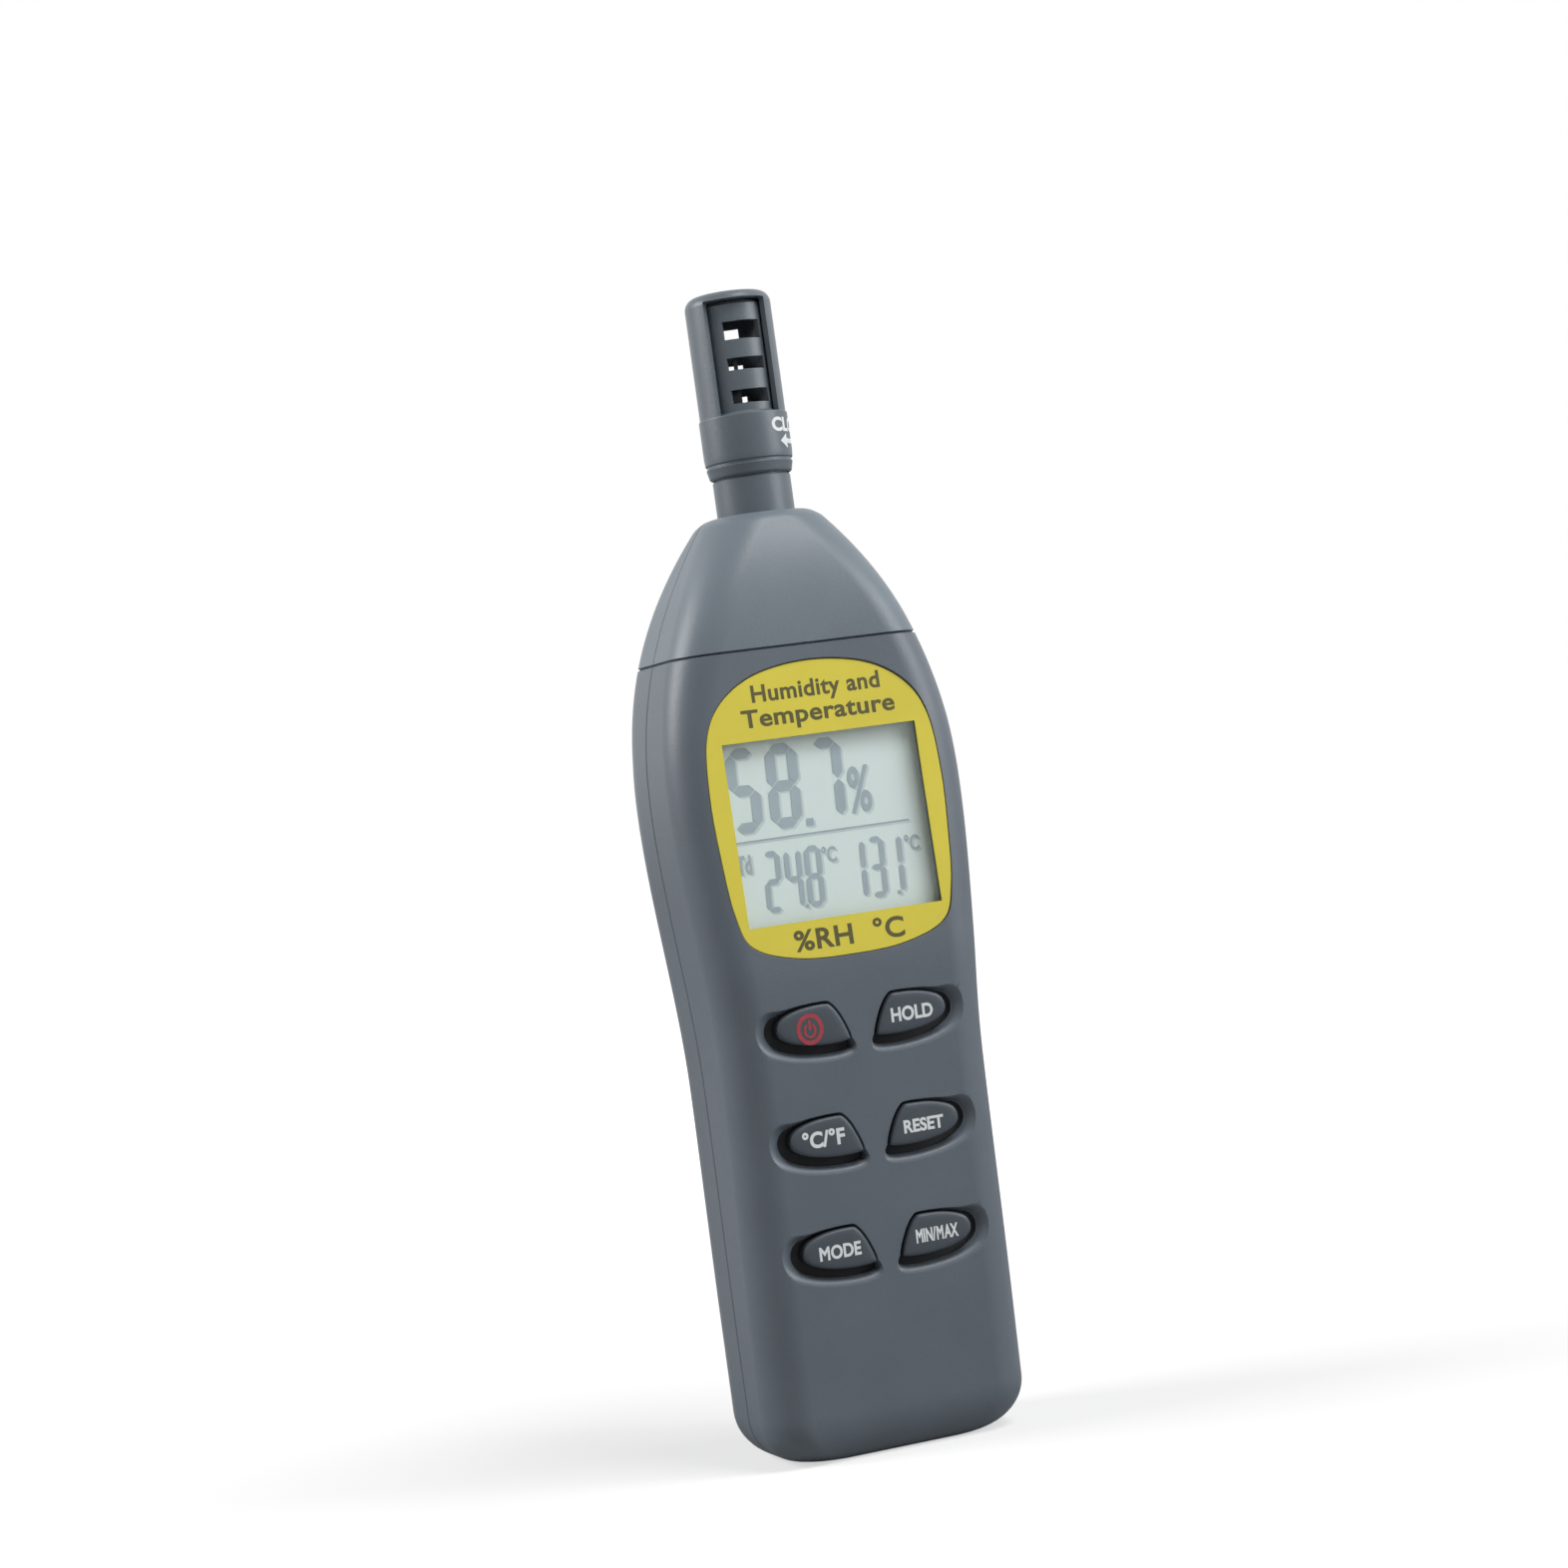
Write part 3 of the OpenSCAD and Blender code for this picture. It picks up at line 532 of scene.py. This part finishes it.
bay_w = BAY_HALF_W + BAY_WALL
inner_walls = block("bay", (-bay_w, BAY_FLOOR - BAY_WALL, BAY_Z - BAY_WALL),
                    (bay_w, BEHIND, BAY_TOP + BAY_WALL))
join(inner_walls, block("sill", (-bay_w, 11.5, BAY_TOP), (bay_w, BEHIND, BAY_TOP + 4.6)),
     *[y_cylinder("boss", BOSS_R, x, z, 0.2, BEHIND) for x, z in SCREWS])
common(inner_walls, rear_core(1))
rear_shell = moulded_half("rear_shell_skin", REAR, CASE_LEVELS)
cut(rear_shell, core(REAR, WALL, FLOOR_Z, CASE_TOP + 2))
join(rear_shell, inner_walls)
recess = cut(door_plan(DOOR_GAP, TOP_GAP), rear_core(DOOR_T + 0.15))
ball = [(NOTCH_R * math.sin(math.radians(a)), -NOTCH_R * math.cos(math.radians(a)))
        for a in range(0, 181, 5)]
cut(rear_shell,
    block("bay", (-BAY_HALF_W, BAY_FLOOR, BAY_Z), (BAY_HALF_W, BAY_BACK, BAY_TOP)),
    block("slot", (-6.5, 1, BAY_TOP - 0.7), (6.5, 4, BAY_TOP)),
    block("opening", (-BAY_HALF_W, 12, DOOR_Z + 1.2), (BAY_HALF_W, FAR_BEHIND, BAY_TOP)),
    recess,
    x_cylinder("hinge", HINGE_R + HINGE_GAP, HINGE_Y, HINGE_Z, HINGE_HALF_W + HINGE_GAP),
    moved(lathe("notch", ball, 72), 0, REAR_DEPTH + NOTCH_OUT, DOOR_Z),
    *[y_cylinder("well", r, x, z, low, BEHIND) for x, z in SCREWS
      for r, low in ((SHANK_HOLE_R, -1), (WELL_R, WELL_FLOOR))])
dress(smooth(rear_shell), case_plastic, "case", ["rear_shell"])


def grip_groove(z):
    profile = [(REAR_DEPTH + 1, z - 1), (REAR_DEPTH - GRIP_D, z + GRIP_D),
               (REAR_DEPTH + 1, z + GRIP_PITCH)]
    return loft("groove", [[(x, *p) for p in profile] for x in (-GRIP_HALF_W, GRIP_HALF_W)])


battery_door = common(rear_core(0), door_plan(0, 0))
cut(battery_door, rear_core(DOOR_T))
join(battery_door, x_cylinder("knuckle", HINGE_R, HINGE_Y, HINGE_Z, HINGE_HALF_W),
     block("hook", (-1.4, 12.8, DOOR_Z + 1.4), (1.4, REAR_DEPTH - DOOR_T + 0.2, DOOR_Z + 2.6)))
cut(battery_door, *[grip_groove(DOOR_Z + 5 + GRIP_PITCH * i) for i in range(GRIP_COUNT)])
battery_door.name = "battery_door_skin"
dress(smooth(battery_door), case_plastic, "battery_door", ["battery_door"])

for side, name in ((FRONT, "nose_front"), (REAR, "nose_rear")):
    nose = moulded_half(name + "_skin", side, NOSE_LEVELS)
    cut(nose, core(side, WALL, CASE_TOP - 2, NOSE_ROOM_TOP),
        cylinder("bore", NECK_R + 0.05, NOSE_ROOM_TOP - 5, 146))
    dress(smooth(nose), nose_plastic, "case", [name])


# Sensor head


def wedge(angle, low, high):
    """A sector about Z that faces the front."""
    turns = [math.radians(a) for a in spaced(-angle / 2, angle / 2, angle / 24)]
    points = [(0, 0)] + [(WEDGE_R * math.sin(a), -WEDGE_R * math.cos(a)) for a in turns]
    return loft("wedge", [[(x, y, z) for x, y in points] for z in (low, high)])


inner_r = SLEEVE_R - RELIEF
sleeve = lathe("sensor_sleeve_body", [
    (0, NECK_FLOOR), (SLEEVE_BORE + 0.1, NECK_FLOOR), (SLEEVE_BORE, NECK_LOW), (NECK_R, NECK_LOW),
    (NECK_R, HOLD_LOW), (HOLD_R, HOLD_LOW), (HOLD_R, HOLD_HIGH), (NECK_R, HOLD_HIGH),
    (NECK_R, NECK_TOP - 0.2), (NECK_R - 0.2, NECK_TOP), (SLEEVE_R, NECK_TOP),
    (SLEEVE_R, RING_TOP + 0.1), (inner_r, RING_TOP + 0.4), (inner_r, SLEEVE_TOP - 0.4),
    (inner_r - 0.4, SLEEVE_TOP), (0, SLEEVE_TOP)])
cut(sleeve, cylinder("room", SLEEVE_BORE, ROOM_LOW, SLEEVE_TOP - 1.2, 96),
    turned(block("board", (-0.35, -2.85, 140), (0.35, 2.85, 150)), BOARD_TURN),
    *[turned(wedge(SLOT_ANGLE, low, high), turn) for low, high in SLOTS for turn in (0, math.pi)])
dress(smooth(sleeve, 32, 0.1), head_plastic, "case", ["sensor_sleeve"])

grip = [(RING_R - inward, RING_LOW + up) for inward, up in
        ((0.75, 0), (0.45, 0.25), (0.15, 1.6), (0.3, 1.7), (0.3, 2.05), (0.08, 2.2), (0, 3.2))]
cap = [(SHUTTER_R - CAP_W * (1 - math.cos(math.radians(a))),
        TOTAL_H - CAP_H * (1 - math.sin(math.radians(a)))) for a in range(0, 91, 9)]
snap = [(SHUTTER_BORE, RING_LOW + 1.85), (SHUTTER_BORE - SNAP_DEPTH, RING_LOW + 1.6),
        (SHUTTER_BORE - SNAP_DEPTH, RING_LOW + 1.45), (SHUTTER_BORE, RING_LOW + 1.2)]
shutter = lathe("shutter_body", (
    [(SHUTTER_BORE, RING_LOW)] + grip
    + [(RING_R, RING_TOP - 0.25), (RING_R - 0.06, RING_TOP - 0.08), (RING_R - 0.2, RING_TOP),
       (SHUTTER_R, RING_TOP)] + cap
    + [(0, TOTAL_H), (0, CEILING), (SHUTTER_BORE, CEILING)] + snap))
cut(shutter, *[turned(wedge(WINDOW_ANGLE, RING_TOP, CEILING), turn) for turn in (0, math.pi)])
turned(shutter, SHUTTER_TURN)
dress(smooth(shutter, 32, 0.1), head_plastic, "shutter", ["shutter"])


# Keys, display and battery


# How much of the key's outline is left at each height of its crown
CROWN = [(0.99, 0.32), (0.975, 0.43), (0.95, 0.52), (0.91, 0.59), (0.84, 0.64), (0.7, 0.67),
         (0.5, 0.69), (0.25, 0.7), (0.02, 0.7)]
KEYS = [("key_power", 2, False), ("key_units", 1, False), ("key_mode", 0, False),
        ("key_hold", 2, True), ("key_reset", 1, True), ("key_min_max", 0, True)]
flange = grown(KEY, FLANGE_GROW, SIDE_GAP, LOW_GAP)
for name, row, flip in KEYS:
    key = keypad_tool(ROWS[row], flip, [
        (FLANGE_LOW, flange), (FLANGE_HIGH, flange), (FLANGE_HIGH + 0.01, KEY), (PAINTED_SHADE_TOP, KEY),
        (CROWN_LOW, KEY)] + [(height, shrunk(KEY, share)) for share, height in CROWN])
    key.name = name + "_cap"
    dress(smooth(key, 50), key_plastic, name, [name])
    # The key's sides from just below the face downwards get a near-black painted shade for the dark
    # gap round the key
    second_material(key, key_painted_shade, lambda x, y, z: y + keypad_face(z) > -PAINTED_SHADE_TOP)

label = display_tool([(LABEL_BOTTOM, LABEL), (LABEL_TOP + LABEL_SOFT, LABEL),
                      (LABEL_TOP, grown(LABEL, -LABEL_SOFT))])
cut(label, display_tool([(-1, window(0)), (1, window(0))]))
label.name = "display_label_film"
dress(smooth(label, 50), label_film, "case", ["display_label"])
lens = display_tool([(depth, grown(LABEL, -0.05)) for depth in (POCKET_D, LABEL_BOTTOM + 0.01)])
lens.name = "display_lens_plate"
dress(smooth(lens), lens_plastic, "case", ["display_lens"])

CELL_PROFILE = [(0, 0), (4.6, 0), (5.0, 0.12), (CELL_R, 0.4), (CELL_R, CELL_LEN - NUB_H - 0.4),
                (5.0, CELL_LEN - NUB_H - 0.1), (4.7, CELL_LEN - NUB_H),
                (2.75, CELL_LEN - NUB_H), (2.6, CELL_LEN - 0.15), (2.45, CELL_LEN), (0, CELL_LEN)]
CELLS = [("cell_1", -CELL_X, LOW_CELL + 0.1, False),
         ("cell_2", -CELL_X, LOW_CELL + CELL_LEN + 0.2, False),
         ("cell_3", CELL_X, BAY_Z + PLATE_T + 0.1, True),
         ("cell_4", CELL_X, BAY_Z + PLATE_T + CELL_LEN + 0.2, True)]


def bare_end(z, flipped):
    """A test for the faces at a cell's two ends, which have no printed sleeve."""
    def where(x, y, height):
        up = CELL_LEN - height + z if flipped else height - z
        return up < 0.5 or up > CELL_LEN - NUB_H - 0.2
    return where


for name, x, z, flipped in CELLS:
    cell = lathe(name + "_body", CELL_PROFILE, 96)
    if flipped:
        moved(turned(cell, math.pi, "X"), 0, 0, CELL_LEN)
    smooth(moved(cell, x, CELL_Y, z), 40)
    dress(cell, cell_sleeve, "case", [name])
    second_material(cell, bright_metal, bare_end(z, flipped))


def spring(x, z, up):
    """A cone of wire that curls from its wide end to its narrow end."""
    rings, count = [], SPRING_TURNS * 36
    for t in (i / count for i in range(count + 1)):
        a = 2 * math.pi * SPRING_TURNS * t
        radius = SPRING_WIDE_R - (SPRING_WIDE_R - SPRING_NARROW_R) * t
        rise = z + up * (SPRING_WIRE_R + (SPRING_LEN - 2 * SPRING_WIRE_R) * t)
        rings.append([(x + (radius + u) * math.cos(a), CELL_Y + (radius + u) * math.sin(a),
                       rise - v) for u, v in circle(SPRING_WIRE_R, 12)])
    return loft("spring", rings)


springs = join(spring(-CELL_X, BAY_Z + PLATE_T, 1), spring(CELL_X, BAY_TOP - PLATE_T, -1))
springs.name = "battery_spring_wire"
dress(smooth(springs, 50), bright_metal, "case", ["battery_springs"])

SCREW_PROFILE = [(0, 0), (1.25, 0), (1.25, 10), (2.2, 10), (2.2, 10.9), (2.05, 11.25),
                 (1.6, 11.5), (0, 11.62)]
CROSS_LONG, CROSS_WIDE, CROSS_FLOOR = 1.3, 0.3, 10.8
heads = []
for x, z in SCREWS:
    head = lathe("screw", SCREW_PROFILE, 48)
    cut(head, *[block("cross", (-w, -d, CROSS_FLOOR), (w, d, 13))
                for w, d in ((CROSS_LONG, CROSS_WIDE), (CROSS_WIDE, CROSS_LONG))])
    heads.append(moved(turned(head, -math.pi / 2, "X"), x, SCREW_TIP, z))
screws = join(heads[0], *heads[1:])
screws.name = "case_screw_set"
dress(smooth(screws, 32, 0.05), screw_metal, "case", ["case_screws"])

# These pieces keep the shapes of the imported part
KEPT = {"sensor_board": sensor_board_mask, "humidity_sensor": humidity_film,
        "thermistor": bead_glass, "lcd_panel": lcd_glass, "lcd_holder": holder_plastic,
        "zebra_strips": strip_rubber, "main_board": circuit_board, "main_chip": chip_plastic,
        "keypad_mat": mat_rubber, "contact_plates": bright_metal, "sensor_wires": wire_plastic}
for name, material in KEPT.items():
    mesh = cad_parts[name].data
    mesh.materials.clear()
    mesh.materials.append(material)
    mesh.shade_smooth()
    mesh.set_sharp_from_angle(angle=math.radians(35))


# Print and display. A drawing is a pair of flat points and faces.


PRINT_STEP = 0.6
M_GAP = 0.07
LABEL_PRINT, LCD_INK_DEPTH, LCD_PAINTED_SHADOW_DEPTH = 0.235, 2.0, 2.03
KEY_MIDDLE, KEY_REACH, KEY_PRINT, KEY_PRINT_DROP = 7.6, 5.5, 0.72, 0.05
RING_PRINT_R = RING_R + 0.03


def printed(name, drawing, place, material, body):
    """A print on a curved or tilted surface, from a drawing and a rule that places its points."""
    points, faces = drawing
    bm = bmesh.new()
    corners = [bm.verts.new((x, y, 0)) for x, y in points]
    for f in faces:
        bm.faces.new([corners[i] for i in f])
    xs = [x for x, _ in points]
    for k in range(1, int((max(xs) - min(xs)) / PRINT_STEP) + 1):
        bmesh.ops.bisect_plane(bm, geom=bm.verts[:] + bm.edges[:] + bm.faces[:],
                               plane_co=(min(xs) + PRINT_STEP * k, 0, 0), plane_no=(1, 0, 0))
    for v in bm.verts:
        v.co = Vector(place(v.co.x, v.co.y)) * MM
    mesh = bpy.data.meshes.new(name)
    bm.to_mesh(mesh)
    bm.free()
    dress(add_object(name, mesh), material, body)


def merged(*drawings):
    points, faces = [], []
    for p, f in drawings:
        faces += [tuple(i + len(points) for i in corners) for corners in f]
        points += list(p)
    return points, faces


def shifted(drawing, x, y, slant=0.0):
    points, faces = drawing
    return [(px + x + slant * py, py + y) for px, py in points], faces


def bar(x0, y0, x1, y1):
    return [(x0, y0), (x1, y0), (x1, y1), (x0, y1)], [(0, 1, 2, 3)]


def oval_ring(rx, ry, stroke, parts=48, start=0.0, sweep=2 * math.pi):
    points = []
    for i in range(parts + 1):
        a = start + sweep * i / parts
        points += [((rx - k) * math.cos(a), (ry - k) * math.sin(a)) for k in (0, stroke)]
    return points, [(2 * i, 2 * i + 2, 2 * i + 3, 2 * i + 1) for i in range(parts)]


def capital_m():
    """The font's own M comes out filled when it is made bolder, so this one stands in for it."""
    left = [(0, 0), (0.168, 0), (0.168, 0.469), (0.14, 0.752), (0, 0.752)]
    points = left + [(0.353, 0.236), (0.353, 0.493)] + [(0.706 - x, y) for x, y in left]
    faces = [(0, 1, 2, 3, 4), (2, 5, 6, 3), (5, 9, 10, 6), (8, 7, 11, 10, 9)]
    return [(x, y - 0.035) for x, y in points], faces


def glyphs(text, bold, spacing):
    """Letters of the built-in font, from x 0 on."""
    curve = bpy.data.curves.new("letters", "FONT")
    curve.body = text
    curve.offset = bold
    curve.space_character = spacing
    curve.resolution_u = 6
    obj = add_object("letters", curve)
    mesh = evaluated_mesh(obj)
    points = [(v.co.x, v.co.y) for v in mesh.vertices]
    faces = [tuple(p.vertices) for p in mesh.polygons]
    bpy.data.objects.remove(obj)
    return shifted((points, faces), -min(x for x, y in points), 0)


def lettering(text, width, height, bold, spacing=1.0):
    """Letters centred on the origin, drawn to a width and a height."""
    points, faces = [], []
    for part in filter(None, text.replace("M", "|M|").split("|")):
        drawing = capital_m() if part == "M" else glyphs(part, bold, spacing)
        edge = max(x for x, y in points) + M_GAP if points else 0
        points, faces = merged((points, faces), shifted(drawing, edge, 0))
    (x0, x1), (y0, y1) = ((min(p[i] for p in points), max(p[i] for p in points)) for i in (0, 1))
    sx, sy = width / (x1 - x0), height / (y1 - y0)
    return [((x - (x0 + x1) / 2) * sx, (y - (y0 + y1) / 2) * sy) for x, y in points], faces


def on_key(row, x, z):
    """A rule that places a drawing on the crown of a key."""
    def place(u, v):
        middle = Vector((-KEY_MIDDLE if x < 0 else KEY_MIDDLE, 0))
        away = min((Vector((x + u, z + v - ROWS[row])) - middle).length / KEY_REACH, 1)
        return on_keypad(x + u, z + v, KEY_PRINT - KEY_PRINT_DROP * away ** 2)
    return place


# Key, text, row, middle of the text (x, z), its width and height
LEGENDS = [("key_units", "°C/°F", 1, -8.07, 46.7, 6.5, 2.5),
           ("key_mode", "MODE", 0, -7.57, 30.35, 6.4, 2.05),
           ("key_hold", "HOLD", 2, 7.58, 62.5, 6.5, 2.1),
           ("key_reset", "RESET", 1, 7.38, 46.3, 6.2, 1.95),
           ("key_min_max", "MIN/MAX", 0, 7.5, 30.4, 6.6, 2.05)]
for key, text, row, x, z, width, height in LEGENDS:
    printed(key + "_legend", lettering(text, width, height, 0.035), on_key(row, x, z),
            white_print, key)
arc = oval_ring(0.95, 1.15, 0.34, 30, math.radians(125), math.radians(290))
power = merged(oval_ring(2.05, 2.25, 0.6), shifted(arc, 0, -0.15), bar(-0.19, -0.1, 0.19, 1.3))
printed("key_power_symbol", power, on_key(2, -8.2, 62.4), red_print, "key_power")

# Text, its middle on the display face (x, up), its width and height
LABEL_TEXTS = [("Humidity and", 0.5, 39.9, 19.8, 3.3), ("Temperature", 0.4, 36.4, 23.6, 3.4),
               ("%RH  °C", 0, 4.55, 17, 3.2)]
for text, x, up, width, height in LABEL_TEXTS:
    printed("label_print_" + str(round(up)), lettering(text, width, height, 0.025, 1.05),
            lambda u, v, x=x, up=up: on_display(x + u, up + v, LABEL_PRINT), dark_print,
            "case")

SEGMENTS = {"1": "bc", "2": "abged", "3": "abgcd", "4": "fgbc", "5": "afgcd", "7": "abc",
            "8": "abcdefg"}
SEGMENT_GAP = 0.06


def digit(figure, w, h, stroke):
    """A seven-segment figure, its lower left corner at the origin."""
    t = stroke / 2
    left, right, low, middle, high = t, w - t, t, h / 2, h - t
    ends = {"a": (left, high, right, high), "b": (right, high, right, middle),
            "c": (right, middle, right, low), "d": (left, low, right, low),
            "e": (left, middle, left, low), "f": (left, high, left, middle),
            "g": (left, middle, right, middle)}
    drawings = []
    for segment in SEGMENTS[figure]:
        x0, y0, x1, y1 = ends[segment]
        a, b = Vector((x0, y0)), Vector((x1, y1))
        along = (b - a).normalized()
        across = Vector((-along.y, along.x)) * t
        a, b = a + along * SEGMENT_GAP * stroke, b - along * SEGMENT_GAP * stroke
        points = [a, a + along * t - across, b - along * t - across, b,
                  b - along * t + across, a + along * t + across]
        drawings.append(([tuple(p) for p in points], [(0, 1, 2, 3, 4, 5)]))
    return merged(*drawings)


LEAN = 0.05
readout = merged(
    *[shifted(digit(f, 4.9, 12.2, 1.55), x, 20.75, LEAN)
      for f, x in (("5", -14.75), ("8", -8.7), ("7", -1.9))],
    bar(-3.3, 20.6, -2.2, 21.7),
    shifted(lettering("%", 3.5, 6.8, 0.02), 5.55, 24.9, LEAN),
    bar(-14.9, 19.4, 12.4, 19.65),
    *[shifted(digit(f, 2.65, 8.8, 0.82), x, 9.0, LEAN)
      for f, x in (("2", -11.2), ("4", -7.95), ("8", -4.85), ("1", 1.9), ("3", 4.9), ("1", 7.7))],
    bar(-5.3, 9.0, -4.75, 9.6), bar(9.0, 9.0, 9.6, 9.6),
    *[shifted(lettering("°C", 2.2, 2.4, 0.03), x, 16.2) for x in (-0.6, 12.3)],
    shifted(lettering("Td", 2.2, 2.8, 0.04), -13.6, 16.3))
printed("lcd_figures", readout, lambda u, v: on_display(u, v, LCD_INK_DEPTH), lcd_ink,
        "case")
# A painted shadow: the figures again, a little deeper, offset right and down, in a lighter ink
printed("lcd_figures_painted_shadow", readout,
        lambda u, v: on_display(u + 0.32, v - 0.3, LCD_PAINTED_SHADOW_DEPTH), lcd_painted_shadow,
        "case")

printed("ring_legend", lettering("CLOSE", 9.6, 2.15, 0.045),
        lambda u, v: on_ring(u + 4.8, 149.75 + v, RING_PRINT_R, math.radians(17.8)), white_print,
        "shutter")
arrow = ([(0, 0), (1.7, 1.1), (1.7, 0.35), (5.2, 0.35), (5.2, -0.35), (1.7, -0.35), (1.7, -1.1)],
         [(0, 6, 5, 4, 3, 2, 1)])
printed("ring_arrow", arrow, lambda u, v: on_ring(u, 147.3 + v, RING_PRINT_R, math.radians(29.5)),
        white_print, "shutter")


# Stage, lamps and camera


FLOOR_HALF = 4000
GLOW_NEAR, GLOW_FAR, GLOW_START, GLOW_END = 0.6, 1.0, 0.06, 0.6
SKY_LIGHT = 0.05
LAMP_TARGET = Vector((0, 0, 0.09))
# The camera as it was fitted to the photo
FOCAL_LENGTH, SENSOR_W = 80.15, 36
CAMERA_PLACE = Vector((-0.17674, -0.4821, 0.09367))
CAMERA_RIGHT = Vector((0.9313, -0.3374, -0.1375))
CAMERA_FORWARD = Vector((0.3416, 0.9398, 0.0076))


def stage_material(name, color):
    """Reads as white in the camera, more so away from the object, and keeps the object's shadow."""
    material = bpy.data.materials.new(name)
    material.use_nodes = True
    nodes, links = material.node_tree.nodes, material.node_tree.links
    shader = nodes["Principled BSDF"]
    shader.inputs["Base Color"].default_value = color
    shader.inputs["Roughness"].default_value = 0.9
    shader.inputs["Specular IOR Level"].default_value = 0.0
    shader.inputs["Emission Color"].default_value = (1, 1, 1, 1)
    ray = nodes.new("ShaderNodeLightPath")
    strength = nodes.new("ShaderNodeMath")
    strength.operation = "MULTIPLY"
    away = nodes.new("ShaderNodeVectorMath")
    away.operation = "LENGTH"
    glow = nodes.new("ShaderNodeMapRange")
    for socket, value in (("From Min", GLOW_START), ("From Max", GLOW_END),
                          ("To Min", GLOW_NEAR), ("To Max", GLOW_FAR)):
        glow.inputs[socket].default_value = value
    links.new(nodes.new("ShaderNodeTexCoord").outputs["Object"], away.inputs[0])
    links.new(away.outputs["Value"], glow.inputs["Value"])
    links.new(glow.outputs["Result"], strength.inputs[1])
    links.new(ray.outputs["Is Camera Ray"], strength.inputs[0])
    links.new(strength.outputs["Value"], shader.inputs["Emission Strength"])
    return material


floor = block("floor", (-FLOOR_HALF, -FLOOR_HALF, -20), (FLOOR_HALF, FLOOR_HALF, -0.05))
floor.data.materials.append(stage_material("floor_white", (0.45, 0.45, 0.45, 1)))

# The world is white to the camera, in reflections and through the lens, and lights softly
scene = bpy.context.scene
world = scene.world or bpy.data.worlds.new("studio")
scene.world = world
world.use_nodes = True
nodes, links = world.node_tree.nodes, world.node_tree.links
nodes.clear()
output = nodes.new("ShaderNodeOutputWorld")
mix = nodes.new("ShaderNodeMixShader")
for socket, strength in ((1, SKY_LIGHT), (2, 1.0)):
    background = nodes.new("ShaderNodeBackground")
    background.inputs["Color"].default_value = (1, 1, 1, 1)
    background.inputs["Strength"].default_value = strength
    links.new(background.outputs["Background"], mix.inputs[socket])
ray = nodes.new("ShaderNodeLightPath")
seen = ray.outputs["Is Camera Ray"]
for kind in ("Is Transmission Ray", "Is Glossy Ray"):
    either = nodes.new("ShaderNodeMath")
    either.operation = "MAXIMUM"
    links.new(seen, either.inputs[0])
    links.new(ray.outputs[kind], either.inputs[1])
    seen = either.outputs["Value"]
links.new(seen, mix.inputs["Fac"])
links.new(mix.outputs["Shader"], output.inputs["Surface"])


def lamp(name, azimuth, elevation, distance, size, power):
    """A soft lamp aimed at the object: azimuth 0 is in front, and 90 to its right."""
    light = bpy.data.lights.new(name, "AREA")
    light.energy = power
    light.size = size
    obj = add_object(name, light)
    az, el = math.radians(azimuth), math.radians(elevation)
    away = Vector((math.sin(az) * math.cos(el), -math.cos(az) * math.cos(el), math.sin(el)))
    obj.location = LAMP_TARGET + away * distance
    obj.rotation_euler = (-away).to_track_quat("-Z", "Y").to_euler()


lamp("right_lamp", 57, 20, 1.2, 0.6, 7.1)
lamp("left_lamp", -108, 28, 1.2, 0.6, 10.3)
lamp("top_lamp", 30, 56, 1.2, 0.5, 7.6)

scene.view_settings.view_transform = "Standard"
lens_data = bpy.data.cameras.new("camera")
lens_data.lens = FOCAL_LENGTH
lens_data.sensor_width = SENSOR_W
lens_data.clip_start = 0.01
camera = add_object("camera", lens_data)
right = CAMERA_RIGHT.normalized()
forward = (CAMERA_FORWARD - right * CAMERA_FORWARD.dot(right)).normalized()
up = right.cross(forward)
pose = Matrix((right, up, -forward)).transposed().to_4x4()
pose.translation = CAMERA_PLACE
camera.matrix_world = pose
scene.camera = camera
